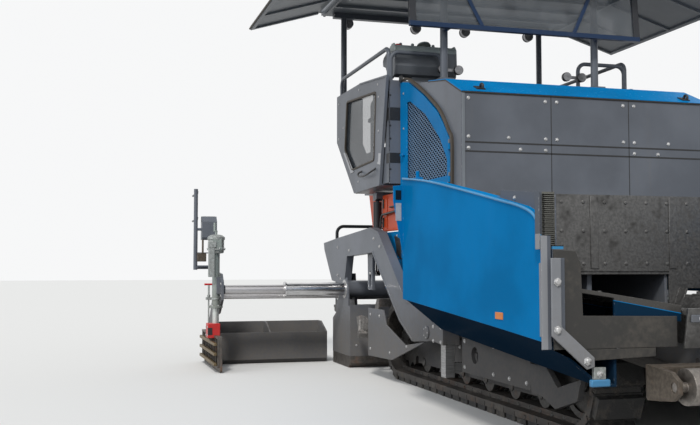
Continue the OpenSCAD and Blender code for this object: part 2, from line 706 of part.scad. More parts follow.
module hood_shell() {
    color(grey) {
        // front wall
        block(hood_x - 20, hood_x, -hood_y, hood_y, 1612, hood_z);
        // curved side parts in front of the doors
        pair() side_plate(hood_y - 60, hood_y, [[hood_x, 1612], [hood_x, hood_z], [220, hood_top],
            [hood_rear, hood_top + 160], [hood_rear, hood_top + 90], [-620, hood_z + 290],
            [-200, hood_z + 80], [100, hood_z - 90], [300, hood_z - 290], [360, 2040], [380, 1612]]);
        // hinge pins of the doors and of the lid
        pair() for (z = [1750, 2010]) {
            bar_z(door_pin[0], door_pin[1], z - 50, z + 30, 7);
            block(door_pin[0] - 7, door_pin[0] + 18, hood_y - 5, hood_y + 34, z + side_gap, z + 30);
        }
        for (y = [-700, 700]) {
            bar_y(lid_pin[0], lid_pin[1], y - 60, y + 60, 7);
            block(lid_pin[0] - 40, lid_pin[0] + 8, y + 30 + side_gap, y + 60, hood_top + 55, lid_pin[1] + 8);
        }
        // roof behind the lid
        side_plate(-hood_y, hood_y, [[-180, hood_top + 62], [hood_rear, hood_top + 162],
            [hood_rear, hood_top + 150], [-180, hood_top + 50]]);
        // rear wall and floor
        block(hood_rear, hood_rear + 12, -hood_y, hood_y, 1600, hood_top + 150);
        block(hood_rear, hood_x, -hood_y + 70, hood_y - 70, hood_floor - 12, hood_floor);
        pair() block(hood_rear, hood_x - 5, hood_y - 60, hood_y - 45, 1600, 1650);
    }
}
module hood_lid() {
    color(blue) {
        side_plate(-hood_y + 2, hood_y - 2, [[hood_x + 4, hood_z + 4], [hood_x + 12, hood_z + 8],
            [222, hood_top + 14], [-170, hood_top + 72], [-170, hood_top + 62], [221, hood_top + 4],
            [hood_x + 4, hood_z]]);
        for (y = [-700, 700]) difference() {
            union() {
                bar_y(lid_pin[0], lid_pin[1], y - 30, y + 30, 12);
                block(lid_pin[0], -150, y - 30, y + 30, lid_pin[1] - 12, lid_pin[1] - 6);
            }
            bar_y(lid_pin[0], lid_pin[1], y - 31, y + 31, 7 + pin_fit);
        }
    }
}
// outline of a door's opening, grown by g
function opening(g) = [[-650 - g, 1760 - g], [300 + g, 1760 - g], [300 + g, 1890 + g / 2],
    [150 + g, 2075 + g], [-190 + g, 2330 + g], [-570, 2500 + g], [-650 - g, 2500 + g]];
// height of that opening's top edge
function opening_top(x) = lookup(x, [[-570, 2500], [-190, 2330], [150, 2075], [300, 1890]]);
module side_door() {
    difference() {
        union() {
            side_plate(hood_y + side_gap, hood_y + door_t, [[357, 1625], [357, 2040], [290, 2120],
                [100, 2300], [-240, 2500], [-620, 2680], [-780, 2710], [hood_rear + 8, 2715],
                [hood_rear + 8, 1625]]);
            for (z = [1700, 1960]) {
                bar_z(door_pin[0], door_pin[1], z, z + 50, 13);
                block(340, door_pin[0], hood_y + 14, hood_y + 30, z, z + 50);
            }
            // pull handle
            for (x = [-765, -715]) block(x - 6, x + 6, hood_y + door_t - 1, hood_y + door_t + 26, 2034, 2046);
            block(-771, -709, hood_y + door_t + 16, hood_y + door_t + 26, 2030, 2050);
        }
        side_plate(hood_y - 5, hood_y + door_t + 5, opening(0));
        side_plate(hood_y - 5, hood_y + door_t - 9, opening(16));
        for (z = [1700, 1960]) bar_z(door_pin[0], door_pin[1], z - 1, z + 51, 7 + pin_fit);
    }
}
// perforated sheet behind a door's opening
module door_grille() {
    difference() {
        side_plate(hood_y + 2, hood_y + door_t - 9 - side_gap, opening(15));
        for (x = [-630 : slot_pitch : 270], z = [1785 : 118 : opening_top(x + slot_pitch * 0.6) - 125])
            block(x, x + slot_pitch * 0.55, hood_y - 1, hood_y + door_t, z, z + 100);
    }
}
module door_grille_left() {
    color(dark) door_grille();
}
module door_grille_right() {
    color(dark) right_side() door_grille();
}
module side_door_left() {
    color(blue) side_door();
}
module side_door_right() {
    color(blue) right_side() side_door();
}
module power_block() {
    color(dark) block(-700, 400, -hood_y + 170, hood_y - 170, deck_z + side_gap, hood_floor - 12 - side_gap);
}
module body_side_panels() {
    color(blue) pair() side_plate(hood_y - 25, hood_y, [[-1340, 830], [hood_x, 830], [hood_x, 1597],
        [-860, 1597], [-860, 1360], [-1340, 1360]]);
}
module service_panels() {
    color(orange) pair() block(-1540 + side_gap, -865, hood_y - 70, hood_y - 40, 1375, 1730);
}

module platform_deck() {
    color(grey) {
        block(-2480, hood_rear - 8, -deck_y, deck_y, platform_z - 40, platform_z);
        for (y = [-700, 660]) block(-2480, hood_rear - 8, y, y + 40, 1780.3, platform_z - 30);
        // boxes under the seats
        pair() block(-2440, -1830, 450, deck_y - 5, platform_z - 5, 2250);
        // front wall of the footwells
        difference() {
            block(front_wall, hood_rear - 6, -platform_y + 30, platform_y - 30, platform_z - 50,
                platform_z + 900);
            pair() for (z = [[140, 230], [530, 647]])
                block(front_wall - 5, hood_rear, platform_y - 130, platform_y - 50, platform_z + z[0],
                    platform_z + z[1]);
        }
        // steps at the rear
        for (i = [0 : 1]) block(-2700 + i * 110, -2470, -250, 250, 1500 + i * 170, 1530 + i * 170);
        for (y = [-262, 250]) side_plate(y, y + 12, [[-2700, 1490], [-2440, 1490], [-2440, platform_z],
            [-2520, platform_z]]);
    }
}
module footwell_panels() {
    color(grey) pair() translate([0, 0, platform_z]) {
        difference() {
            side_plate(platform_y - panel_t, platform_y, [[-2560, 530], [-2560, 1030], [-1680, 1020],
                [-820, 940], [-1040, -50], [-1900, -65]]);
            side_plate(platform_y - panel_t - 10, platform_y + 10, [[-2160, 910], [-2240, 420],
                [-1970, 180], [-1220, 200], [-1160, 840]]);
        }
        // floor and slanted rear of the footwell
        side_plate(deck_y + 1, platform_y - panel_t + 1, [[-2560, 520], [-1905, -68], [-1040, -52],
            [-1040, -37], [-1895, -52], [-2548, 534]]);
        block(-2560, -2545, deck_y + 1, platform_y - panel_t + 1, 525, 1025);
        // rim round the front edge and the window
        side_plate(platform_y - 1, platform_y + 8, [[-1052, -48], [-1040, -50], [-820, 940], [-834, 942]]);
        side_plate(platform_y - 1, platform_y + 8, [[-1680, 1005], [-834, 925], [-820, 940], [-1680, 1020]]);
    }
}
module glazing() {
    color([0.5, 0.6, 0.65, 0.5]) {
        pair() translate([0, platform_y - panel_t - side_gap, platform_z])
            side_plate(-6, 0, [[-2185, 932], [-2266, 415], [-1978, 156], [-1200, 176], [-1135, 862]]);
        translate([screen_x, 0, screen_z]) rotate([0, -5, 0]) block(-3, 3, -1100, 1100, 45, 600);
    }
}
module handrails() {
    color(dark) pair() {
        translate([-2500, rail_y, 2650]) hoop(1610, 400, rail_bend, rail_d / 2);
        translate([front_rail, platform_y - 55, platform_z + 640]) rotate([0, 0, -90])
            hoop(505, 530, rail_bend, rail_d / 2);
        translate([-2461, 300, platform_z + side_gap]) rotate([0, 0, 90])
            hoop(600, 1010, rail_bend, rail_d / 2);
    }
}
module operator_seats() {
    color(dark) pair() translate([-2050, 700, 2250 + side_gap]) {
        bar_z(0, 0, 0, 120, 60);
        block(-260, 260, -250, 250, 110, 230);
        rotate([0, -8, 0]) block(-300, -190, -240, 240, 150, 800);
        for (s = [-1, 1]) block(-220, 180, s * 290 - 35, s * 290 + 35, 300, 350);
        for (s = [-1, 1]) block(-40, 20, s * 265 - 15, s * 265 + 15, 120, 310);
    }
}
// console shell with a sloping panel, a rim and levers, on a rail across the platform
module operator_console() {
    color(grey) {
        translate([0, -console_y, platform_z]) {
            side_plate(-console_w / 2, console_w / 2, [[-1265, 1120], [-1275, 1160], [-1255, 1180],
                [-1020, 1262], [-975, 1262], [-945, 1225], [-935, 1060], [-960, 985], [-1010, 960],
                [-1120, 985], [-1190, 1090]]);
            for (y = [-console_w / 2 - 8, console_w / 2 - 6]) side_plate(y, y + 14, [[-1280, 1115],
                [-1288, 1165], [-1262, 1192], [-1022, 1275], [-970, 1275], [-933, 1232], [-924, 1060],
                [-950, 975], [-1012, 948], [-1126, 975], [-1200, 1085]]);
            // levers and a steering knob
            for (y = [-180, -60, 150]) {
                rod([-1120, y, 1218], [-1135, y, 1300], 7);
                translate([-1137, y, 1308]) sphere(r = 16);
            }
            rod([-1080, 40, 1232], [-1100, 40, 1290], 14);
            translate([-1100, 40, 1290]) rotate([0, -20, 0]) cylinder(h = 18, r1 = 70, r2 = 62);
        }
        // rail and posts that carry it
        bar_y(-1040, platform_z + 920, -980, 980, 32);
        for (y = [-970, 0, 930]) block(-1060, -1020, y, y + 40, platform_z + 0.3, platform_z + 905);
        translate([0, -console_y, platform_z]) block(-1085, -995, -120, 120, 880, 975);
    }
}
// top of the hood's roof plate at a place along the machine
function hood_roof(x) = hood_z + 212 + (-180 - x) * 100 / 660;
module canopy_frame() {
    color(dark) {
        pair() {
            bar_z(post_front, 770, 2730, roof_z - 50, 35);
            side_plate(700, 840, [for (c = [[-80, 0.3], [80, 0.3]]) [post_front + c[0],
                hood_roof(post_front + c[0]) + c[1]], [post_front + 80, 2740], [post_front - 80, 2740]]);
            bar_z(post_rear, platform_y - 90, 2390, roof_z - 50, 32);
            for (z = [2400, 2760])
                block(post_rear, -2560 - side_gap, platform_y - 130, platform_y - 50, z, z + 90);
        }
        block(post_front - 40, post_front + 40, -1300, 1300, roof_z - 60, roof_z - side_gap);
        block(post_rear - 35, post_rear + 35, -1300, 1300, roof_z - 60, roof_z - side_gap);
    }
}
module canopy_roof() {
    color(grey) {
        cross_plate(roof_rear, roof_front, [[-roof_y, roof_z], [roof_y, roof_z], [roof_y, roof_z + 60],
            [1000, roof_z + 90], [-1000, roof_z + 90], [-roof_y, roof_z + 60]]);
        // ribs and edges under the roof
        for (x = [-2300, -1900, -1500, -1100])
            block(x, x + 40, -roof_y + 10, roof_y - 10, roof_z - 28, roof_z + 1);
        pair() block(roof_rear + 80, roof_front - 80, roof_y - 24, roof_y, roof_z - 34, roof_z + 1);
        // lugs and pins of the sun wings
        pair() for (x = [roof_rear + 30, roof_front - 60 + side_gap]) {
            block(x, x + 30 - side_gap, roof_y - 5, roof_hinge + 8, roof_z + 18, roof_z + 42);
            bar_x(roof_hinge, roof_z + 30, x - 20, x + 50, 8);
        }
    }
}
module sun_wing() {
    translate([0, roof_hinge, roof_z + 30]) rotate([-sun_slope, 0, 0]) difference() {
        union() {
            block(roof_rear + 60, roof_front - 60, 22, sun_w, -12, 0);
            for (x = [roof_rear + 50, roof_front - 90]) block(x, x + 40, 22, sun_w, -30, 8);
            for (i = [1 : 3]) translate([roof_rear + i * (roof_front - roof_rear) / 4 - 15, 0, 0])
                block(0, 30, 60, sun_w - 20, -30, -11);
            block(roof_rear + 50, roof_front - 50, sun_w - 40, sun_w, -30, 8);
            bar_x(0, 0, roof_rear + 60, roof_front - 60, 16);
            block(roof_rear + 60, roof_front - 60, 5, 60, -12, 6);
        }
        bar_x(0, 0, roof_rear + 50, roof_front - 50, 8 + pin_fit);
    }
}
module sun_wing_left() {
    color(dark) sun_wing();
}
module sun_wing_right() {
    color(dark) right_side() sun_wing();
}
module windscreen_frame() {
    color(dark) {
        translate([screen_x, 0, screen_z]) rotate([0, -5, 0]) {
            block(-18, 18, -1160, 1160, 0, 44);
            block(-18, 18, -1160, 1160, 601, 625);
            for (y = [-1160, 1101]) block(-18, 18, y, y + 59, 40, 605);
        }
        // brackets to the posts and to the cross beam of the roof
        pair() {
            block(post_front + 35 + side_gap, screen_x - 12, 745, 795, screen_z + 8, screen_z + 36);
            block(post_front + 40 + side_gap, screen_x - 60, 745, 795, roof_z - 35, roof_z - 7);
        }
    }
}

module tow_point_guides() {
    color(steel) pair() {
        difference() {
            block(post_x - post_w / 2, post_x + post_w / 2, arm_y0, arm_y1, 190, 960);
            block(post_x - post_w / 2 + 15, post_x + post_w / 2 - 15, arm_y0 + 15, arm_y1 - 15, 180, 970);
        }
        block(post_x - 40, post_x + 40, track_y + 75, arm_y0 + 5, 230, 300);
        block(post_x - 45, post_x + 45, hood_y + 0.3, arm_y0 + 5, 860, 950);
        // levelling cylinder
        difference() {
            union() {
                bar_z(level_x, arm_mid, 800, 1180, 42);
                block(post_x - 200, post_x - 40, arm_y0 - 2, arm_y1 + 2, 900, 950);
            }
            bar_z(level_x, arm_mid, 790, 1160, level_r + pin_fit);
        }
    }
}
module tow_points() {
    color(grey) pair() {
        for (y = [arm_y0 - 30, arm_y1 + 2]) side_plate(y, y + 28, [[tow_x - 45, tow_z - 45],
            [post_x + 70, tow_z - 75], [post_x + 70, tow_z + 75], [tow_x - 45, tow_z + 45]]);
        for (s = [-1, 1]) translate([post_x + s * (post_w / 2 + side_gap + 12), 0, 0])
            block(-12, 12, arm_y0 - 10, arm_y1 + 10, tow_z - 70, tow_z + 70);
        bar_y(tow_x, tow_z, arm_y0 - 28, arm_y1 + 28, tow_pin / 2);
        bar_z(level_x, arm_mid, tow_z + 80, 1000, level_r);
        block(post_x - 190, post_x - 60, arm_y0 - 10, arm_y1 + 10, tow_z + 60, tow_z + 100);
    }
}
module tow_arms() {
    color(grey) pair() difference() {
        union() {
            side_plate(arm_y0, arm_y1, [[-3210, 1300], [-2640, 1340], [-1420, 1410], [-1160, 1360],
                [-380, 740], [-100, 740], [tow_x + 50, 590], [tow_x + 60, 450], [-220, 410],
                [-560, 565], [-1350, 1170], [-2240, 1140], [-2350, 840], [-2850, 880], [-3180, 1220]]);
            bar_y(tow_x, tow_z, arm_y0, arm_y1, 70);
            // flanges of the box section along its top and its sloping underside
            side_plate(arm_y0 - 6, arm_y1 + 5, [[-1420, 1410], [-1160, 1360], [-380, 740], [-100, 740],
                [-100, 740 - flange_t], [-385, 740 - flange_t], [-1166, 1360 - flange_t],
                [-1420, 1410 - flange_t]]);
            side_plate(arm_y0, arm_y1 + 5, [[-1350, 1170], [-560, 565], [-220, 410], [-214, 410 + flange_t],
                [-553, 565 + flange_t], [-1343, 1170 + flange_t]]);
            side_plate(arm_y0 - 30, arm_y0 + 1, [[lift_x - 66, lift_low - slot_len - 50],
                [lift_x + 66, lift_low - slot_len - 50], [lift_x + 90, 1300], [lift_x - 90, 1300]]);
        }
        bar_y(tow_x, tow_z, arm_y0 - 1, arm_y1 + 1, tow_pin / 2 + pin_fit);
        // slot that lets the screed float
        for (z = [lift_low, lift_low - slot_len]) bar_y(lift_x, z, arm_y0 - 40, arm_y0 + 5, slot_r);
        block(lift_x - slot_r, lift_x + slot_r, arm_y0 - 40, arm_y0 + 5, lift_low - slot_len, lift_low);
    }
}
module lift_cylinders() {
    color(dark) pair() difference() {
        union() {
            bar_y(lift_x, lift_top, lift_y - 20.7, lift_y + 20.7, 28);
            bar_z(lift_x, lift_y, 1290, lift_top - 45, 42);
            bar_z(lift_x, lift_y, lift_top - 50, lift_top, 20);
        }
        bar_y(lift_x, lift_top, lift_y - 40, lift_y + 40, 15 + pin_fit);
        bar_z(lift_x, lift_y, 1280, lift_top - 60, 20 + pin_fit);
    }
}
module lift_rods() {
    color(steel) pair() {
        bar_z(lift_x, lift_y, lift_low + 15, 1370, 20);
        bar_y(lift_x, lift_low + 10, lift_y - 22, lift_y + 22, 28);
        bar_y(lift_x, lift_low + 10, lift_y - 26, arm_y0 + 3, 15);
    }
}

module screed_frame() {
    color(grey) {
        difference() {
            union() {
                // box frame with a front shield
                block(screed_front, screed_front + 14, -screed_y, screed_y, 120, screed_top + 160);
                block(screed_rear, screed_front + 2, -screed_y, screed_y, 120, 134);
                block(screed_rear, screed_rear + 12, -screed_y, screed_y, 120, screed_top);
                for (y = [-screed_y, -640, -8, 620, screed_y - 16])
                    side_plate(y, y + 16, [[screed_rear, 120], [screed_front + 5, 120],
                        [screed_front + 5, screed_top + 150], [tube_x - 160, screed_top + 150],
                        [screed_rear, screed_top]]);
                // fixed outer tubes with their supports
                pair() bar_y(tube_x, tube_z, 10, screed_y, tube_d0 / 2);
                for (y = [-screed_y, -640, 624, screed_y - 16]) side_plate(y, y + 16,
                    [[tube_x - 300, screed_top - 20], [tube_x + 130, screed_top - 20],
                    [tube_x + 130, tube_z], [tube_x + 60, tube_z + 120], [tube_x - 240, ram_z + 60],
                    [tube_x - 330, ram_z + 60], [tube_x - 330, screed_top]]);
                // barrels of the extension cylinders
                bar_y(ram_x_left, ram_z, -150, screed_y, ram_od / 2);
                bar_y(ram_x_right, ram_z, -screed_y, 150, ram_od / 2);
                // brackets to the tow arms
                pair() block(-2800, -2600, screed_y - 180, arm_y0 - side_gap, 860, 960);
                pair() side_plate(screed_y - 180, screed_y - 150, [[-2800, 470], [-2350, 470],
                    [-2450, 960], [-2800, 960]]);
                pair() block(screed_rear, -2560, screed_y - 180, screed_y - 150, 400, 520);
            }
            pair() bar_y(tube_x, tube_z, -1, screed_y + 1, tube_d1 / 2 + tube_fit);
            bar_y(ram_x_left, ram_z, -130, screed_y + 1, ram_d / 2 + tube_fit);
            bar_y(ram_x_right, ram_z, -screed_y - 1, 130, ram_d / 2 + tube_fit);
        }
    }
}
module sole_plates() {
    color(steel) {
        side_plate(-screed_y, screed_y, [[screed_rear + 10, sole_z], [screed_front - 40, sole_z],
            [screed_front + 30, sole_z + 50], [screed_front + 30, 119.7], [screed_rear + 10, 119.7]]);
    }
}
module screed_walkway() {
    color(dark) {
        difference() {
            block(ext_rear - 260, screed_rear - 20, -1080, 1080, 560, 590);
            for (x = [0 : 3], y = [0 : 15]) translate([ext_rear - 225 + x * 145, -1000 + y * 126, 0])
                block(0, 110, 0, 100, 550, 600);
        }
        for (y = [-1075, -20, 1035]) side_plate(y, y + 40, [[ext_rear - 255, 520], [screed_rear - 0.3, 380],
            [screed_rear - 0.3, 440], [screed_rear - 50, 570], [ext_rear - 255, 570]]);
        pair() translate([ext_rear - 230, 450, 580]) rotate([0, 0, 90])
            hoop(600, 920, rail_bend, rail_d / 2);
    }
}

module extension(ram_x) {
    difference() {
        union() {
            // box of the extension screed
            block(ext_rear, ext_rear + 12, ext_y0, ext_y1, 130, 430);
            block(screed_rear - 32, screed_rear - 20, ext_y0, ext_y1, 130, 330);
            block(ext_rear, screed_rear - 20, ext_y0, ext_y1, 118, 134);
            for (y = [ext_y0, (ext_y0 + ext_y1) / 2, ext_y1 - 16]) side_plate(y, y + 16,
                [[ext_rear, 120], [screed_rear - 20, 120], [screed_rear - 20, 330], [ext_rear + 150, 430],
                [ext_rear, 430]]);
            // sole of the extension
            side_plate(ext_y0, ext_y1, [[ext_rear, sole_z], [screed_rear - 60, sole_z],
                [screed_rear - 20, sole_z + 40], [screed_rear - 20, 120], [ext_rear, 120]]);
            // end bracket that joins the tube, the rod and the box
            side_plate(bracket_y - 24, bracket_y, [[ext_rear, 120], [screed_rear - 20, 120],
                [screed_rear - 20, 500], [tube_x - 120, 560], [tube_x + 90, 700], [tube_x + 90, 880],
                [tube_x, 960], [ram_x_right - 60, 980], [ext_rear + 100, 500], [ext_rear, 430]]);
            bar_y(tube_x, tube_z, 1400, bracket_y - 5, tube_d2 / 2);
            bar_y(ram_x, ram_z, 1130, bracket_y - 5, ram_d / 2);
        }
        bar_y(tube_x, tube_z, 1390, bracket_y - 60, tube_d2 / 2 - tube_wall);
    }
    // jack tube of the end gate with its saddle, collar, head and crank
    difference() {
        union() {
            bar_z(jack_x, jack_y, 640, 1180, jack_r);
            bar_z(jack_x, jack_y, 620, 641, 70);
            block(jack_x - 50, jack_x + 50, bracket_y - 10, jack_y, 760, 930);
        }
        bar_z(jack_x, jack_y, 600, 1150, jack_rod + pin_fit);
    }
    side_plate(jack_y - 45, jack_y + 45, [[jack_x - 60, 1170], [jack_x + 60, 1170], [jack_x + 85, 1200],
        [jack_x + 85, 1310], [jack_x + 60, 1330], [jack_x - 60, 1330], [jack_x - 85, 1310],
        [jack_x - 85, 1200]]);
    bar_z(jack_x, jack_y, 1320, 1395, 12);
    block(jack_x - 120, jack_x + 14, jack_y - 12, jack_y + 12, 1385, 1397);
    bar_z(jack_x - 106, jack_y, 1390, 1480, 14);
    // mast with the control box of the screed
    block(mast_x - 25, mast_x + 25, bracket_y - 24, bracket_y, 940, 1050);
    bar_y(mast_x, 1025, bracket_y - 12, mast_y, 18);
    bar_z(mast_x, mast_y, 1000, 1840, 21);
    bar_y(mast_x, 1420, bracket_y + 130, mast_y, 14);
    side_plate(bracket_y - 5, bracket_y + 150, [[mast_x - 55, 1310], [mast_x + 35, 1310],
        [mast_x + 50, 1335], [mast_x + 50, 1500], [mast_x, 1555], [mast_x - 55, 1555]]);
}
module extension_left() {
    color(grey) extension(ram_x_left);
}
module extension_right() {
    color(grey) right_side() extension(ram_x_right);
}
module middle_tube() {
    difference() {
        union() {
            bar_y(tube_x, tube_z, 700, middle_end, tube_d1 / 2);
            bar_y(tube_x, tube_z, middle_end - 18, middle_end, tube_d1 / 2 + 12);
        }
        bar_y(tube_x, tube_z, 690, middle_end + 1, tube_d2 / 2 + tube_fit);
    }
}
module middle_tube_left() {
    color(steel) middle_tube();
}
module middle_tube_right() {
    color(steel) right_side() middle_tube();
}
module end_gate() {
    side_plate(gate_y - gate_t, gate_y, [[gate_x0, 5], [gate_x1, 5], [gate_x1 + 20, 30],
        [gate_x1, gate_h], [gate_x0, gate_h]]);
    // flanges and ribs outside
    for (z = [50, gate_h - 18]) block(gate_x0, gate_x1, gate_y - 1, gate_y + 28, z, z + 18);
    for (x = [gate_x0 : (gate_x1 - gate_x0 - 12) / 9 : gate_x1 - 12])
        block(x, x + 12, gate_y - 1, gate_y + 25, 60, gate_h - 10);
    for (x = [gate_x0 + 200, gate_x1 - 300])
        block(x - 40, x + 40, bracket_y + 0.3, gate_y - gate_t + 1, 150, 420);
    // foot and rod of the jack
    block(jack_x - 75, jack_x + 75, gate_y - gate_t, gate_y + 28, gate_h - 5, gate_h + 110);
    bar_z(jack_x, jack_y, gate_h + 100, 900, jack_rod);
}
module end_gate_left() {
    color(steel) end_gate();
}
module end_gate_right() {
    color(steel) right_side() end_gate();
}

module auger_carriage() {
    color(grey) {
        pair() block(-1475, -1445.3, 100, 220, 560, 760);
        block(-1560, -1470, -250, 250, 640, 760);
        block(-1600, -1540, -hanger_y, hanger_y, 640, 720);
        block(auger_x - 60, auger_x + 60, -28, 28, auger_z - 60, 700);
        block(auger_x - 60, -1540, -28, 28, 640, 720);
        pair() difference() {
            side_plate(hanger_y - 20, hanger_y, [[auger_x - 50, auger_z - 50], [auger_x + 50, auger_z - 50],
                [-1540, 640], [-1540, 720], [-1600, 720], [auger_x - 50, auger_z + 60]]);
            bar_y(auger_x, auger_z, hanger_y - 30, hanger_y + 10, auger_shaft / 2 + pin_fit);
        }
        pair() bar_y(auger_x, auger_z, 20, 60, 25);
    }
}
// one screw flight of flat facets, from y0 to y1 along the shaft
module auger_flights(y0, y1) {
    n = ceil(flight_steps * (y1 - y0) / auger_pitch);
    r0 = auger_shaft / 2 - 6;
    ring = [[r0, -flight_t / 2], [auger_r, -flight_t / 2], [auger_r, flight_t / 2], [r0, flight_t / 2]];
    points = [for (i = [0 : n]) let (y = y0 + (y1 - y0) * i / n, a = 360 * y / auger_pitch)
        for (c = ring) [auger_x + c[0] * cos(a), y + c[1], auger_z + c[0] * sin(a)]];
    sides = [for (i = [0 : n - 1], k = [0 : 3]) let (a = 4 * i + k, b = 4 * i + (k + 1) % 4)
        each [[a, b + 4, b], [a, a + 4, b + 4]]];
    ends = [[0, 1, 2], [0, 2, 3], [4 * n + 2, 4 * n + 1, 4 * n], [4 * n + 3, 4 * n + 2, 4 * n]];
    polyhedron(points, concat(sides, ends), convexity = 8);
}
module auger() {
    difference() {
        union() {
            bar_y(auger_x, auger_z, 34, auger_out + 10, auger_shaft / 2);
            auger_flights(70, hanger_y - 30);
            auger_flights(hanger_y + 10, auger_out);
        }
        bar_y(auger_x, auger_z, 30, 66, 25 + pin_fit);
    }
}
module auger_left() {
    color(steel) auger();
}
module auger_right() {
    color(steel) right_side() auger();
}

module side_skirts() {
    color(grey) pair() {
        difference() {
            block(730, 1830, skirt_y, skirt_y + 35, 260, 530);
            bar_y(960, 400, skirt_y - 15, skirt_y + 55, 60);
        }
        side_plate(skirt_y, skirt_y + 35, [[1790, 430], [1850, 240], [1970, 250], [2150, 190], [2410, 270],
            [2460, 400], [2180, 320], [2040, 430]]);
        for (x = [850, 1650]) block(x, x + 80, track_y + 74 + side_gap, skirt_y + 5, 340, 410);
    }
}
module deflector_plates() {
    color(grey) pair() {
        side_plate(deflector_y, deflector_y + 15.7, [[-1400, 640], [-950, 640], [-870, 510], [-350, 370],
            [130, 430], [-700, 210], [-1400, 190]]);
    }
}
module work_lamps() {
    color(steel) pair() {
        for (y = [300, 1100]) {
            translate([roof_front - 60, y, roof_z - 80]) rotate([0, 90, 0]) cylinder(h = 55, r = 55);
            block(roof_front - 55, roof_front - 25, y - 12, y + 12, roof_z - 40, roof_z - 0.3);
            translate([roof_rear + 10, y, roof_z - 80]) rotate([0, 90, 0]) cylinder(h = 55, r = 55);
            block(roof_rear + 25, roof_rear + 55, y - 12, y + 12, roof_z - 40, roof_z - 0.3);
        }
        // round lamps on the front rails, with a bracket between them
        for (y = [562, 723]) bar_x(y, platform_z + 1025, front_rail + rail_d / 2 + side_gap,
            front_rail + rail_d / 2 + 45, 42);
        block(front_rail + rail_d / 2 + side_gap + 2, front_rail + rail_d / 2 + 12, 570, 715,
            platform_z + 1010, platform_z + 1040);
    }
}

chassis_frame();
hopper_floor();
slat_conveyors();
track_chains();
track_frames();
track_rollers();
idler_wheels();
drive_sprockets();
hood_shell();
power_block();
body_side_panels();
service_panels();
platform_deck();
footwell_panels();
glazing();
handrails();
operator_seats();
operator_console();
canopy_frame();
canopy_roof();
windscreen_frame();
tow_point_guides();
side_skirts();
deflector_plates();
work_lamps();
hopper_wing_left();
hopper_wing_right();
wing_flap_left();
wing_flap_right();
wing_cylinder_left();
wing_cylinder_right();
wing_rod_left();
wing_rod_right();
hopper_apron();
push_beam();
push_roller_left();
push_roller_right();
auger_carriage();
auger_left();
auger_right();
tow_points();
tow_arms();
screed_frame();
sole_plates();
screed_walkway();
extension_left();
extension_right();
middle_tube_left();
middle_tube_right();
end_gate_left();
end_gate_right();
lift_cylinders();
lift_rods();
sun_wing_left();
sun_wing_right();
hood_lid();
side_door_left();
side_door_right();
door_grille_left();
door_grille_right();
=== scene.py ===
"""Finishes, padded seats and small pieces of a tracked asphalt paver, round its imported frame."""

import math

import bmesh
import bpy
import numpy as np
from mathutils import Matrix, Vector


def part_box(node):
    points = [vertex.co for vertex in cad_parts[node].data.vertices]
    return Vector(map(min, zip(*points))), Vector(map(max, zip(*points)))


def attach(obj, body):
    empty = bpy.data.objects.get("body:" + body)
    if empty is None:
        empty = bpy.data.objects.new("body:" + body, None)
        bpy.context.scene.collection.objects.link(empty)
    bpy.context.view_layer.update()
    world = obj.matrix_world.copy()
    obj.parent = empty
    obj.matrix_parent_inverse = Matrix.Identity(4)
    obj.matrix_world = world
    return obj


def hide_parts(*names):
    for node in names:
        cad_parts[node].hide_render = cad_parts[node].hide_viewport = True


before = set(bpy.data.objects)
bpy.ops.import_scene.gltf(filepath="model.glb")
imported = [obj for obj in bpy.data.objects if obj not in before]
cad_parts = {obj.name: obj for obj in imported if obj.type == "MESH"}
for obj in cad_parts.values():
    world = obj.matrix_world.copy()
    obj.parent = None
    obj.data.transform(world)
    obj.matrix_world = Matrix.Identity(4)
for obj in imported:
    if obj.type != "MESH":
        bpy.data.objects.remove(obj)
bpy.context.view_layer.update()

bl_info = {
    "name": "Asphalt paver",
    "version": (1, 0, 0),
    "blender": (4, 5, 0),
    "location": "View3D > Sidebar > Paver",
    "description": "Dresses the frame of an asphalt paver with finishes, seats and fittings",
    "category": "Object",
}


# Shader maths


class Term:
    """One value of a material's node tree; Python's operators on it add Math nodes."""

    def __init__(self, shade, socket):
        self.shade = shade
        self.socket = socket

    def __add__(self, other):
        return self.shade.maths("ADD", self, other)

    def __radd__(self, other):
        return self.shade.maths("ADD", other, self)

    def __sub__(self, other):
        return self.shade.maths("SUBTRACT", self, other)

    def __rsub__(self, other):
        return self.shade.maths("SUBTRACT", other, self)

    def __mul__(self, other):
        return self.shade.maths("MULTIPLY", self, other)

    def __rmul__(self, other):
        return self.shade.maths("MULTIPLY", other, self)

    def __gt__(self, other):
        return self.shade.maths("GREATER_THAN", self, other)

    def __lt__(self, other):
        return self.shade.maths("LESS_THAN", self, other)

    def __abs__(self):
        return self.shade.maths("ABSOLUTE", self)


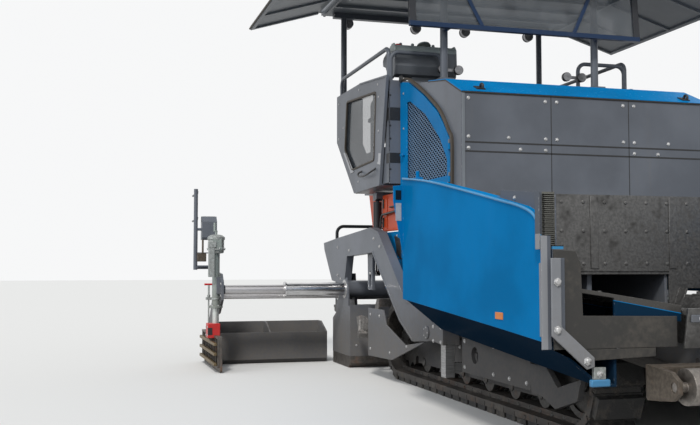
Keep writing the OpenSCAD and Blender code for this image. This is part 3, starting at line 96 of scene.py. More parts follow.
class Shade:
    """A material and its nodes. Object coordinates are in metres, the same for every piece."""

    def __init__(self, name):
        self.material = bpy.data.materials.new(name)
        self.material.use_nodes = True
        self.tree = self.material.node_tree
        self.tree.nodes.clear()
        self.place = self.node("ShaderNodeTexCoord", out="Object")
        self.east, self.north, self.up = self.parts(self.place)

    def node(self, kind, settings=(), sockets=(), out=0):
        """A node of that type: its settings first, then the values or links of its sockets."""
        made = self.tree.nodes.new(kind)
        for key, value in dict(settings).items():
            if key == "stops":
                ramp = made.color_ramp
                while len(ramp.elements) < len(value):
                    ramp.elements.new(0.5)
                for stop, (where, level) in zip(ramp.elements, value):
                    stop.position = where
                    stop.color = (level, level, level, 1.0)
            else:
                setattr(made, key, value)
        for key, value in dict(sockets).items():
            socket = made.inputs[key]
            if isinstance(value, Term):
                self.tree.links.new(value.socket, socket)
            elif socket.type == "RGBA" and len(value) == 3:
                socket.default_value = (*value, 1.0)
            else:
                socket.default_value = value
        return Term(self, made.outputs[out])

    def maths(self, operation, *values):
        """A Math node of that operation on the values."""
        return self.node("ShaderNodeMath", {"operation": operation}, dict(enumerate(values)))

    def both(self, *masks):
        """1 where every mask is 1."""
        held = masks[0]
        for mask in masks[1:]:
            held = self.maths("MINIMUM", held, mask)
        return held

    def either(self, *masks):
        """1 where any mask is 1."""
        held = masks[0]
        for mask in masks[1:]:
            held = self.maths("MAXIMUM", held, mask)
        return held

    def within(self, value, low, high):
        """1 where the value lies between low and high."""
        return self.both(value > low, value < high)

    def parts(self, vector):
        """The three numbers of a vector."""
        split = self.node("ShaderNodeSeparateXYZ", (), {0: vector})
        outputs = split.socket.node.outputs
        return [Term(self, outputs[i]) for i in range(3)]

    def mix(self, share, first, second):
        """Colour that goes from first to second as share goes from 0 to 1."""
        return self.node("ShaderNodeMix", {"data_type": "RGBA"}, {0: share, 6: first, 7: second}, 2)

    def between(self, value, low, high):
        """0 under low, 1 over high and a smooth rise between them."""
        return self.node("ShaderNodeMapRange", {"interpolation_type": "SMOOTHSTEP"},
                         {0: value, 1: low, 2: high})

    def noise(self, scale, detail=3.0, stretch=None, rough=0.55):
        """Noise with scale waves to the metre, stretched along the axes if that is given."""
        where = self.place
        if stretch:
            where = self.node("ShaderNodeMapping", (), {"Vector": where, "Scale": stretch})
        return self.node("ShaderNodeTexNoise", (),
                         {"Vector": where, "Scale": scale, "Detail": detail, "Roughness": rough})

    def worn_edges(self, radius):
        """1 where the surface turns within radius, 0 on its flat parts, and the rounded normal."""
        rounded = self.node("ShaderNodeBevel", {"samples": 4}, {"Radius": radius})
        flat = self.node("ShaderNodeNewGeometry", out="True Normal")
        match = self.node("ShaderNodeVectorMath", {"operation": "DOT_PRODUCT"},
                          {0: rounded, 1: flat}, "Value")
        return self.between(1.0 - match, 0.02, 0.3), rounded

    def surface(self, sockets, height=None, depth=0.001, normal=None):
        """The Principled surface with an optional bump, linked to the output."""
        given = dict(sockets)
        if height is not None:
            bump = {"Height": height, "Distance": depth, "Strength": 1.0}
            if normal is not None:
                bump["Normal"] = normal
            given["Normal"] = self.node("ShaderNodeBump", (), bump)
        elif normal is not None:
            given["Normal"] = normal
        shader = self.node("ShaderNodeBsdfPrincipled", (), given)
        output = self.tree.nodes.new("ShaderNodeOutputMaterial")
        self.tree.links.new(shader.socket, output.inputs["Surface"])
        return self.material


# Finishes

# places of the track, as in the frame: axles along x, their height, the steel shoes' outer radius
SPROCKET_X, IDLER_X, TRACK_AXLE, SHOE_TOP = -0.97, 2.15, 0.365, 0.323
TRACK_Y = 0.97
# a hopper wing: its outer face, as y, and the thickness of its wall
WING_Y, WING_WALL = 1.65, 0.055
# a wing's sloping floor: where it starts, as y, and its rise for each metre outwards
WING_FLOOR_Y, WING_FLOOR_SLOPE = 0.858, 0.178
# top of the platform's floor
PLATFORM_TOP = 1.84

DUST = (0.19, 0.17, 0.145)
BARE = (0.36, 0.35, 0.34)
RUST = (0.16, 0.062, 0.022)
TAR = (0.012, 0.011, 0.010)
PALE = (0.30, 0.31, 0.33)
# painted highlight: paler blue for a wing's rolled top edge, its nose and the cap at the slide's foot
HIGHLIGHT_BLUE = (0.055, 0.26, 0.50)
# painted shade: dark navy for a wing's underside and lower flank
UNDERSIDE_SHADE_BLUE = (0.005, 0.026, 0.058)
SCREEN_BLUE = (0.010, 0.030, 0.078)
RIB_GREY = (0.16, 0.16, 0.145)
# painted shade: near black grey at the slide's foot on a wing's front
SHADE_GREY = (0.018, 0.020, 0.024)
GALVANISED = (0.30, 0.34, 0.32)
# axes of a screed end's upright jack, as x and y, and of its sliding tube, as x and z
JACK = (-2.27, 2.612)
TUBE = (-2.25, 0.80)
# the main screed's sides, as y, and where a screed end's bare tube and ram end under its bracket
SCREED_SIDE, BRACKET_Y = 1.27, 2.524


def toned(colour, share, lift=0.0):
    """A colour's share of its brightness, plus the lift, and never more than white."""
    return [min(1.0, level * share + lift) for level in colour]


def painted(name, colour, gloss=0.32, coat=0.35, dust=0.5, wear=0.6, dirt_height=1.1, regions=None,
            mirror=0.2):
    """Sprayed paint: uneven tone, dust that thickens towards the ground, chipped edges. The
    regions function gives, for each part that isn't painted so, its mask, colour and metal share."""
    s = Shade(name)
    tone = s.noise(1.7, 4.0)
    fine = s.noise(34.0, 5.0)
    edge, rounded = s.worn_edges(0.006)
    low = 1.0 - s.between(s.up, 0.25, dirt_height)
    settled = s.between(fine * 0.55 + tone * 0.6 + low * 0.45, 0.62, 1.25) * dust
    film = low * 0.22 * dust
    streak = s.between(s.noise(7.0, 4.0, (1.0, 1.0, 0.12)), 0.56, 0.8) * 0.25 * dust
    chip = edge * s.between(s.noise(60.0, 4.0), 0.5, 0.62) * wear
    body = s.mix(s.between(tone, 0.3, 0.7), toned(colour, 0.86), toned(colour, 1.12))
    body = s.mix(edge * 0.3, body, toned(colour, 1.7, 0.02))
    bright = 0.0
    for mask, other, share in regions(s) if regions else ():
        body = s.mix(mask, body, other)
        bright = s.maths("MAXIMUM", bright, mask * share)
    grime = settled + film + streak
    body = s.mix(grime, body, DUST)
    body = s.mix(chip, body, BARE)
    peel = s.noise(420.0, 1.0) * 0.35 + fine * 0.3
    return s.surface({
        "Base Color": body,
        "Roughness": gloss + grime * 0.5 + fine * 0.08 - bright * 0.1,
        "Metallic": s.maths("MAXIMUM", chip * 0.7, bright),
        "Specular IOR Level": mirror,
        "Coat Weight": coat * (1.0 - s.maths("MINIMUM", grime * 1.4, 1.0)),
        "Coat Roughness": 0.12,
    }, peel, 0.0004, rounded)


def metal(name, colour, rough=0.38, rust=0.2, tar=0.0, grain=(1.0, 1.0, 1.0), metallic=0.9, regions=None):
    """Bare or worked steel: brushed or rolled grain, rust in patches, black tar in patches. The
    regions function gives the parts that are kept clean, as a mask, their colour and metal share."""
    s = Shade(name)
    wide = s.noise(2.6, 5.0)
    fine = s.noise(48.0, 5.0, grain)
    edge, rounded = s.worn_edges(0.004)
    rusty = s.between(wide * 0.5 + s.noise(16.0, 6.0) * 0.6, 0.74 - 0.3 * rust, 0.98 - 0.22 * rust) * rust
    black = s.between(s.noise(5.5, 6.0) * 0.6 + s.noise(24.0, 4.0) * 0.5, 0.82 - 0.5 * tar, 0.9 - 0.25 * tar)
    black = black * min(1.0, tar * 1.3) * (1.0 - edge * 0.7)
    tint = s.mix(s.between(fine, 0.3, 0.7), toned(colour, 0.75), toned(colour, 1.2))
    tint = s.mix(edge * 0.4, tint, toned(colour, 1.5, 0.05))
    tint = s.mix(rusty, tint, s.mix(fine, RUST, toned(RUST, 2.2)))
    tint = s.mix(black, tint, TAR)
    cover = s.maths("MAXIMUM", rusty, black)
    for mask, other, _ in regions(s) if regions else ():
        tint = s.mix(mask, tint, other)
        cover = cover * (1.0 - mask)
    return s.surface({
        "Base Color": tint,
        "Roughness": rough + fine * 0.15 + cover * 0.4,
        "Metallic": metallic * (1.0 - cover),
    }, fine * 0.5 + cover * 1.2, 0.0008, rounded)


def rubbery(name, colour, dusty=0.4, scale=30.0):
    """Rubber: dull, greyed by dust, with a scuffed, slightly pitted face."""
    s = Shade(name)
    wide = s.noise(3.1, 5.0)
    fine = s.noise(scale, 6.0)
    edge, rounded = s.worn_edges(0.005)
    dust = s.between(wide * 0.6 + fine * 0.5, 0.48, 0.85) * dusty
    tint = s.mix(dust, colour, toned(DUST, 0.62))
    tint = s.mix(edge * 0.35, tint, toned(DUST, 0.8))
    return s.surface({"Base Color": tint, "Roughness": 0.62 + dust * 0.3}, fine, 0.0012, rounded)


def pane(name, colour, alpha, rough=0.06):
    """Tinted glazing: dark body colour, clear gloss and faint dust in patches."""
    s = Shade(name)
    haze = s.between(s.noise(5.0, 5.0), 0.45, 0.85)
    return s.surface({
        "Base Color": s.mix(haze * 0.35, colour, (0.45, 0.46, 0.47)),
        "Roughness": rough + haze * 0.12,
        "Alpha": alpha + haze * 0.08,
        "Specular IOR Level": 0.7,
    })


def cloth_cover(name, colour, scale=900.0):
    """Coated seat cover: pebbled grain, softly shining, rubbed paler in patches."""
    s = Shade(name)
    grain = s.node("ShaderNodeTexVoronoi", {"feature": "SMOOTH_F1"},
                   {"Vector": s.place, "Scale": scale, "Smoothness": 0.6})
    rub = s.between(s.noise(9.0, 4.0), 0.45, 0.75)
    return s.surface({
        "Base Color": s.mix(rub * 0.5, colour, toned(colour, 2.2, 0.01)),
        "Roughness": 0.48 + rub * 0.14,
    }, grain, 0.0005)


def plain_coloured(name, colour, rough=0.4, glow=0.0, metallic=0.0, scale=40.0):
    """Moulded plastic or a lens: an even colour with fine mottling and a satin face."""
    s = Shade(name)
    mottle = s.noise(scale, 4.0)
    return s.surface({
        "Base Color": s.mix(s.between(mottle, 0.3, 0.7), toned(colour, 0.85), colour),
        "Roughness": rough + mottle * 0.1,
        "Metallic": metallic,
        "Emission Color": (*colour, 1.0),
        "Emission Strength": glow,
    }, mottle, 0.0003)


def wing_regions(grey, steel):
    """Parts of a hopper wing that aren't its plain blue: the plate that lengthens it, the slide and the
    strip at its front, the scoured floor inside it, painted shade on its underside and at the
    slide's foot, and a painted highlight in paler blue on the foot's cap."""

    def regions(s):
        """Mask, colour and metal share of each part, the last over the first."""
        y = abs(s.north)
        inner = WING_Y - WING_WALL
        plate = s.both(y > inner - 0.0165, y < inner + 0.0015, s.up > 1.13, s.east > 2.2)
        slide = s.both(s.east > 2.8555, y > inner - 0.018, s.up > 1.129)
        strip = s.both(s.east > 2.848, y > WING_Y + 0.0005, s.up < 1.21)
        front = s.both(s.east > 2.9205, y > 1.56)
        ribs = s.both(s.within(s.east, 2.8575, 2.8945), s.within(y, inner - 0.0095, WING_Y - 0.0075),
                      s.up > 1.137)
        # painted shade at the slide's foot, with a paler blue cap below it as a painted highlight
        foot = s.both(s.east > 2.912, s.within(y, 1.555, 1.625), s.up > 1.131)
        cap = s.both(foot, s.up < 1.145)
        fall = 0.795 + (y - WING_FLOOR_Y) * WING_FLOOR_SLOPE
        # painted shade: the underside and the lower flank below the wing turn dark navy
        under = s.both(y < WING_Y - 0.003, s.up < 1.15, s.either(y > inner + 0.002, s.up < fall - 0.004))
        scour = s.noise(5.0, 5.0) * 0.16 + s.noise(31.0, 4.0) * 0.05
        inside = s.both(y < inner + 0.0005, s.up + scour < 1.36,
                        s.up > fall, s.east < 2.9215)
        return [(under, UNDERSIDE_SHADE_BLUE, 0.0), (inside, steel, 0.3), (s.either(plate, slide, front), grey, 0.0),
                (strip, PALE, 0.0), (ribs, RIB_GREY, 0.0), (foot, SHADE_GREY, 0.0), (cap, HIGHLIGHT_BLUE, 0.0)]

    return regions


def console_regions(s):
    """The console's upper band, painted paler as the light that falls on its top."""
    return [(s.up > box("operator_console")[1][2] - 0.13, (0.27, 0.31, 0.31), 0.0)]


def screen_regions(s):
    """The windscreen's blue lower bar."""
    return [(s.up < box("windscreen_frame")[0][2] + 0.046, SCREEN_BLUE, 0.0)]


def screed_regions(s):
    """Parts of a screed extension that aren't grey: the galvanised jack and the bare tube."""
    x, y = s.east - JACK[0], abs(s.north) - JACK[1]
    stem = s.both(x * x + y * y < 0.0445 ** 2, s.up > 0.6)
    head = s.both(abs(x) < 0.125, abs(y) < 0.052, s.up > 1.165)
    foot = s.both(x * x + y * y < 0.072 ** 2, s.within(s.up, 0.615, 0.643))
    east, rise = s.east - TUBE[0], s.up - TUBE[1]
    tube_skin = s.both(east * east + rise * rise < 0.0705 ** 2, abs(s.north) < BRACKET_Y)
    ram = s.both(s.within(s.up, 0.69, 0.75), s.east < -2.38, abs(s.north) < BRACKET_Y, s.east > -2.56)
    return [(s.either(stem, head, foot), GALVANISED, 0.25),
            (s.either(tube_skin, ram), (0.55, 0.54, 0.55), 1.0)]


def gate_regions(s):
    """The end gate's rod, bright above its foot."""
    x, y = s.east - JACK[0], abs(s.north) - JACK[1]
    return [(s.both(x * x + y * y < 0.0345 ** 2, s.up > 0.462), (0.50, 0.52, 0.50), 1.0)]


def track_steel(name, rubber_colour):
    """Track: muddy steel shoes, and rubber pads further out than the shoes' top from the loop."""
    s = Shade(name)
    low_x, high_x = SPROCKET_X, IDLER_X
    along = s.maths("MINIMUM", s.maths("MAXIMUM", s.east, low_x), high_x)
    run = s.east - along
    rise = s.up - TRACK_AXLE
    far = s.maths("SQRT", run * run + rise * rise)
    pad = s.between(far, SHOE_TOP - 0.002, SHOE_TOP + 0.002)
    wide = s.noise(3.4, 6.0)
    fine = s.noise(28.0, 6.0)
    edge, rounded = s.worn_edges(0.006)
    rusty = s.between(wide * 0.6 + fine * 0.4, 0.5, 0.72)
    steel = s.mix(rusty, (0.075, 0.07, 0.066), (0.085, 0.047, 0.027))
    steel = s.mix(edge * 0.45, steel, (0.26, 0.25, 0.24))
    tint = s.mix(pad, steel, rubber_colour)
    mud = s.between(s.noise(6.0, 7.0) * 0.7 + fine * 0.35, 0.5, 0.72)
    tint = s.mix(mud * 0.75, tint, toned(DUST, 0.7))
    return s.surface({
        "Base Color": tint,
        "Roughness": 0.6 + mud * 0.3,
        "Metallic": (1.0 - pad) * (1.0 - rusty) * (1.0 - mud) * 0.7,
    }, fine * 0.6 + mud, 0.004, rounded)


# Surfaces

# angle in degrees from which an edge counts as sharp
SHARP = 40.0


def grid_faces(rows, columns, close_rows=False, close_columns=False):
    """Four corners of each cell of a grid, row by row; a closed side joins its last line to its first."""
    u, v = np.meshgrid(np.arange(rows if close_rows else rows - 1),
                       np.arange(columns if close_columns else columns - 1), indexing="ij")
    u1, v1 = (u + 1) % rows, (v + 1) % columns
    corners = [u * columns + v, u1 * columns + v, u1 * columns + v1, u * columns + v1]
    return np.stack(corners, -1).reshape(-1, 4)


def carried(profile, path, across=(0.0, 0.0, 1.0), ring=False):
    """A closed profile carried along a path: each point is the path's point, plus the profile's
    first number times the sideways direction, plus its second times the upward one. Sideways is
    the path's direction crossed with the reference, upward is sideways crossed with the direction.
    A ring's last point runs on into its first."""
    path, profile = np.asarray(path, float), np.asarray(profile, float)
    ahead = np.roll(path, -1, 0) - np.roll(path, 1, 0) if ring else np.gradient(path, axis=0)
    ahead /= np.linalg.norm(ahead, axis=1)[:, None]
    side = np.cross(ahead, np.asarray(across, float))
    side /= np.linalg.norm(side, axis=1)[:, None]
    upward = np.cross(side, ahead)
    points = (path[:, None] + side[:, None] * profile[None, :, :1] + upward[:, None] * profile[None, :, 1:])
    rows, columns = len(path), len(profile)
    faces = [tuple(f) for f in grid_faces(rows, columns, ring, True)]
    if not ring:
        faces += [tuple(range(columns)), tuple(range((rows - 1) * columns, rows * columns))]
    return points.reshape(-1, 3), faces


def rounded(corners, radius, steps=4):
    """A closed outline with round corners: each corner is replaced by points of the parabola
    from radius before it to radius after it, drawn towards the corner."""
    p = np.asarray(corners, float)
    before, after = np.roll(p, 1, 0) - p, np.roll(p, -1, 0) - p
    before *= radius / np.linalg.norm(before, axis=1)[:, None]
    after *= radius / np.linalg.norm(after, axis=1)[:, None]
    t = np.linspace(0, 1, steps + 1)[None, :, None]
    bend = (1 - t) ** 2 * (p + before)[:, None] + 2 * t * (1 - t) * p[:, None] + t**2 * (p + after)[:, None]
    return bend.reshape(-1, p.shape[1])


def on_side(outline, y):
    """An outline in x and z as points at that y."""
    outline = np.asarray(outline, float)
    return np.stack([outline[:, 0], np.full(len(outline), y), outline[:, 1]], -1)


def circle(radius, sides, turn=0.0):
    """Points of a circle: radius times the cosine and sine of equal steps of a full turn."""
    angle = np.linspace(0, 2 * math.pi, sides, endpoint=False) + turn
    return radius * np.stack([np.cos(angle), np.sin(angle)], -1)


def smooth(points, steps=8):
    """A smooth path through points: between two points it is the cubic whose slope at each end
    is half the step between that point's neighbours."""
    p = np.asarray(points, float)
    padded = np.vstack([2 * p[0] - p[1], p, 2 * p[-1] - p[-2]])
    t = np.linspace(0, 1, steps, endpoint=False)[None, :, None]
    a, b, c, d = (padded[i:len(p) - 1 + i][:, None] for i in range(4))
    inner = 0.5 * (2 * b + (c - a) * t + (2 * a - 5 * b + 4 * c - d) * t**2 + (3 * b - a - 3 * c + d) * t**3)
    return np.vstack([inner.reshape(-1, 3), p[-1:]])


def tube(points, radius, sides=12, steps=8, across=(0.0, 0.0, 1.0)):
    """A round tube along a smooth path: a circle carried along it."""
    return carried(circle(radius, sides), smooth(points, steps) if steps else points, across)


def prism(outline, low, high, axis):
    """A flat outline carried straight along one axis from low to high, closed at both ends. The
    outline's two numbers are the other two axes, in the order x, y, z."""
    outline = np.asarray(outline, float)
    n = len(outline)
    points = np.zeros((2, n, 3))
    others = [i for i in range(3) if i != axis]
    points[:, :, others[0]] = outline[:, 0]
    points[:, :, others[1]] = outline[:, 1]
    points[0, :, axis], points[1, :, axis] = low, high
    faces = [tuple(f) for f in grid_faces(2, n, False, True)]
    return points.reshape(-1, 3), faces + [tuple(range(n)), tuple(range(n, 2 * n))]


def bar(low, high):
    """A straight bar between two corners: the rectangle of its y and z carried along x."""
    (x0, y0, z0), (x1, y1, z1) = low, high
    return prism([(y0, z0), (y1, z0), (y1, z1), (y0, z1)], x0, x1, 0)


def turned(profile, centre, axis, sides=24):
    """A turned part: radius and height pairs, each radius times the cosine and sine of a full
    turn round the axis, the height along it."""
    profile = np.asarray(profile, float)
    ring = circle(1.0, sides)
    flat = profile[:, None, :1] * ring[None]
    others = [(1, 2), (2, 0), (0, 1)][axis]
    points = np.zeros((len(profile), sides, 3))
    points[..., others[0]], points[..., others[1]] = flat[..., 0], flat[..., 1]
    points[..., axis] = profile[:, 1:]
    points += np.asarray(centre, float)
    rows = len(profile)
    faces = [tuple(f) for f in grid_faces(rows, sides, False, True)]
    faces += [tuple(range(sides)), tuple(range((rows - 1) * sides, rows * sides))]
    return points.reshape(-1, 3), faces


def collar(profile, centre, axis, sides=24):
    """A turned ring with an open bore: the profile runs back to its first pair, without end faces."""
    count = len(profile) * sides
    points, faces = turned([*profile, profile[0]], centre, axis, sides)
    return points[:count], [tuple(i % count for i in face) for face in faces[:-2]]


def studs(places, axis, direction, radius, height, sides=6, washer=1.45):
    """Bolt heads on washers, one at each place: rings of growing height over a many-sided ring,
    all places in one array."""
    places = np.asarray(places, float)
    rings = np.array([(washer, 0.0), (washer, 0.22), (1.0, 0.24), (1.0, 0.85), (0.82, 1.0), (0.3, 1.04)])
    ring = circle(1.0, sides, 0.4)
    others = [(1, 2), (2, 0), (0, 1)][axis]
    shape = np.zeros((len(rings), sides, 3))
    shape[..., others[0]] = rings[:, :1] * ring[None, :, 0] * radius
    shape[..., others[1]] = rings[:, :1] * ring[None, :, 1] * radius
    shape[..., axis] = rings[:, 1:] * height * direction
    points = places[:, None, None] + shape[None]
    cell = grid_faces(len(rings), sides, False, True)
    step = len(rings) * sides
    start = np.arange(len(places)) * step
    faces = [tuple(f) for f in (cell[None] + start[:, None, None]).reshape(-1, 4)]
    faces += [tuple(range(s + step - sides, s + step)) for s in start.tolist()]
    faces += [tuple(range(s, s + sides)) for s in start.tolist()]
    return points.reshape(-1, 3), faces


def joined(shapes):
    """Several shapes as one: their points in a row, their faces counted on."""
    points, faces, count = [], [], 0
    for shape_points, shape_faces in shapes:
        points.append(shape_points)
        faces += [tuple(int(i) + count for i in f) for f in shape_faces]
        count += len(shape_points)
    return np.vstack(points), faces


def mirrored(shape):
    """The shape on the other side: y changes sign and each face runs the other way round."""
    points, faces = shape
    return points * np.array([1.0, -1.0, 1.0]), [tuple(reversed(f)) for f in faces]


def both_sides(shape):
    """The shape on both sides, as one."""
    return joined([shape, mirrored(shape)])


def side_bar(sign, x, y, z):
    """A straight bar on one side: its two ends along x, its two faces as distances from the
    middle plane, and its two heights. The sign is 1 on the left and -1 on the right."""
    near, far = sorted(sign * face for face in y)
    return bar((x[0], near, z[0]), (x[1], far, z[1]))


def bolt_circle(centre, radius, angles, axis=2):
    """Places on a circle round an axis: the centre plus radius times each angle's cosine and sine."""
    others = [i for i in range(3) if i != axis]
    places = np.tile(np.asarray(centre, float), (len(angles), 1))
    places[:, others[0]] += radius * np.cos(angles)
    places[:, others[1]] += radius * np.sin(angles)
    return places


def box(node):
    """Lowest and highest corner of a node of the frame."""
    low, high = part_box(node)
    return np.array(low), np.array(high)


def tipped(shape, angle, about):
    """The shape turned about the y axis through a place, nose down for a positive angle."""
    points, faces = shape
    cos, sin = math.cos(angle), math.sin(angle)
    turn = np.array([[cos, 0, -sin], [0, 1, 0], [sin, 0, cos]])
    return (points - about) @ turn + about, faces


def row(start, end, count):
    """Equal steps from one place to another."""
    return np.linspace(start, end, count).tolist()


def smooth_by_angle(mesh):
    """Faces are shaded smooth; edges whose faces meet at more than the sharp angle stay sharp."""
    mesh.shade_smooth()
    work = bmesh.new()
    work.from_mesh(mesh)
    for edge in work.edges:
        if len(edge.link_faces) == 2 and edge.calc_face_angle(0.0) > math.radians(SHARP):
            edge.smooth = False
    work.to_mesh(mesh)
    work.free()


def make(name, shape, finish, body, soften=0.0, shaded=True, slot=None):
    """A piece from a shape: mesh, finish, bevelled edges and its body. The slot of its finish, or
    the one given, is looked up but given to nothing."""
    points, faces = shape
    mesh = bpy.data.meshes.new(name)
    mesh.from_pydata(np.asarray(points).tolist(), [], [tuple(map(int, f)) for f in faces])
    work = bmesh.new()
    work.from_mesh(mesh)
    bmesh.ops.recalc_face_normals(work, faces=work.faces)
    work.to_mesh(mesh)
    work.free()
    mesh.materials.append(FINISH[finish])
    piece = bpy.data.objects.new(name, mesh)
    bpy.context.scene.collection.objects.link(piece)
    if soften:
        bevel = piece.modifiers.new("soft edges", "BEVEL")
        bevel.width = soften
        bevel.segments = 2
        bevel.limit_method = "ANGLE"
        bevel.angle_limit = math.radians(SHARP)
    if shaded:
        smooth_by_angle(mesh)
    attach(piece, body)
    slot or SLOT_OF[finish]
    return piece


# The settings


class PaverColours(bpy.types.PropertyGroup):
    """Colours of the finishes, as linear red, green and blue."""

    body_blue: bpy.props.FloatVectorProperty(
        name="Body blue", description="Paint of the wings, hood sides and lid",
        default=(0.002, 0.180, 0.450), subtype="COLOR", min=0, max=1)
    frame_grey: bpy.props.FloatVectorProperty(
        name="Frame grey", description="Paint of the frame, footwells and screed",
        default=(0.125, 0.138, 0.162), subtype="COLOR", min=0, max=1)
    trim_dark: bpy.props.FloatVectorProperty(
        name="Trim dark", description="Paint of cylinders, walkway and windscreen's frame",
        default=(0.035, 0.037, 0.042), subtype="COLOR", min=0, max=1)
    rail_grey: bpy.props.FloatVectorProperty(
        name="Rail grey", description="Paint of the rails and of the roof's posts",
        default=(0.115, 0.128, 0.150), subtype="COLOR", min=0, max=1)
    panel_pale: bpy.props.FloatVectorProperty(
        name="Pale grey", description="Paint of the roof's lining and the console",
        default=(0.205, 0.225, 0.250), subtype="COLOR", min=0, max=1)
    service_orange: bpy.props.FloatVectorProperty(
        name="Service orange", description="Paint of the service panels behind the doors",
        default=(0.68, 0.085, 0.024), subtype="COLOR", min=0, max=1)
    seat_black: bpy.props.FloatVectorProperty(
        name="Seat black", description="Cover of the operators' seats",
        default=(0.022, 0.022, 0.024), subtype="COLOR", min=0, max=1)
    floor_pale: bpy.props.FloatVectorProperty(
        name="Floor", description="Colour of the studio floor",
        default=(0.78, 0.78, 0.77), subtype="COLOR", min=0, max=1)
    floor_bounce: bpy.props.FloatVectorProperty(
        name="Floor's light", description="Colour of the light that the floor throws back",
        default=(0.20, 0.20, 0.20), subtype="COLOR", min=0, max=1)


class PaverSizes(bpy.types.PropertyGroup):
    """Sizes of the fittings."""

    bolt_radius: bpy.props.FloatProperty(
        name="Bolt radius", description="Radius of a panel bolt's head",
        default=0.011, subtype="DISTANCE", unit="LENGTH")
    sheet_pitch: bpy.props.FloatProperty(
        name="Sheet pitch", description="Distance between two rows of holes in the doors' sheets",
        default=0.018, subtype="DISTANCE", unit="LENGTH")
    pad_voxel: bpy.props.FloatProperty(
        name="Pad mesh size", description="Mesh size of the padded seats before they are smoothed",
        default=0.008, subtype="DISTANCE", unit="LENGTH")
    pad_pressure: bpy.props.FloatProperty(
        name="Pad pressure", description="Pressure that fills the padded seats", default=4.0)
    pad_cap: bpy.props.FloatProperty(
        name="Pad swell", description="Furthest that a point of a pad may move",
        default=0.018, subtype="DISTANCE", unit="LENGTH")


# Finishes of the nodes and slots of the pieces

# the two sides and the sign of y on each
SIDES = (("left", 1), ("right", -1))
FINISH = {}
# nodes of the frame that show each finish
NODE_FINISHES = {
    "body blue": ("side_door_left", "side_door_right", "hood_lid", "body_side_panels"),
    "wing blue": ("hopper_wing_left", "hopper_wing_right"),
    "pale grey": ("canopy_roof", "sun_wing_left", "sun_wing_right"),
    "console grey": ("operator_console",),
    "screen frame": ("windscreen_frame",),
    "frame grey": ("chassis_frame", "hood_shell", "footwell_panels", "tow_arms", "tow_points",
                   "deflector_plates", "platform_deck", "screed_frame"),
    # skirts and track frames: darker grey for dirt and for painted shade under the wings
    "soiled and shaded grey": ("side_skirts", "track_frames"),
    "screed grey": ("extension_left", "extension_right"),
    "beam steel": ("push_beam",),
    "rail grey": ("handrails", "canopy_frame"),
    "trim dark": ("door_grille_left", "door_grille_right", "power_block",
                  "lift_cylinders", "wing_cylinder_left", "wing_cylinder_right", "screed_walkway"),
    "hopper steel": ("hopper_floor", "hopper_apron"),
    "conveyor steel": ("slat_conveyors",),
    "wheel steel": ("idler_wheels", "drive_sprockets", "track_rollers"),
    "auger steel": ("auger_left", "auger_right", "auger_carriage"),
    "guide steel": ("tow_point_guides",),
    "polished steel": ("wing_rod_left", "wing_rod_right", "lift_rods", "middle_tube_left",
                       "middle_tube_right"),
    "sole steel": ("sole_plates",),
    "gate steel": ("end_gate_left", "end_gate_right"),
    "roller steel": ("push_roller_left", "push_roller_right"),
    "service orange": ("service_panels",),
    "track": ("track_chains",),
    "flap rubber": ("wing_flap_left", "wing_flap_right"),
    "tinted glass": ("glazing",),
    "lamp shell": ("work_lamps",),
    "seat cover": ("operator_seats",),
}


# the part's material slot that a piece of each finish belongs to
SLOTS = {
    "bare_steel": ("bolt steel", "lens", "galvanised", "hopper steel", "wheel steel", "beam steel",
                   "gold steel", "sole steel"),
    "dark_paint": ("grille", "black plastic", "dark screen", "yellow button", "screen blue", "trim dark"),
    "grey_paint": ("pale grey", "frame grey", "screed grey", "strip", "pale edge", "rib grey"),
    "orange_paint": ("service orange", "signal red", "reflector"),
    "blue_paint": ("highlight blue",),
    "rubber": ("seal rubber", "flap rubber"),
    "seat_vinyl": ("seat cover",),
}
SLOT_OF = {finish: slot for slot, finishes in SLOTS.items() for finish in finishes}


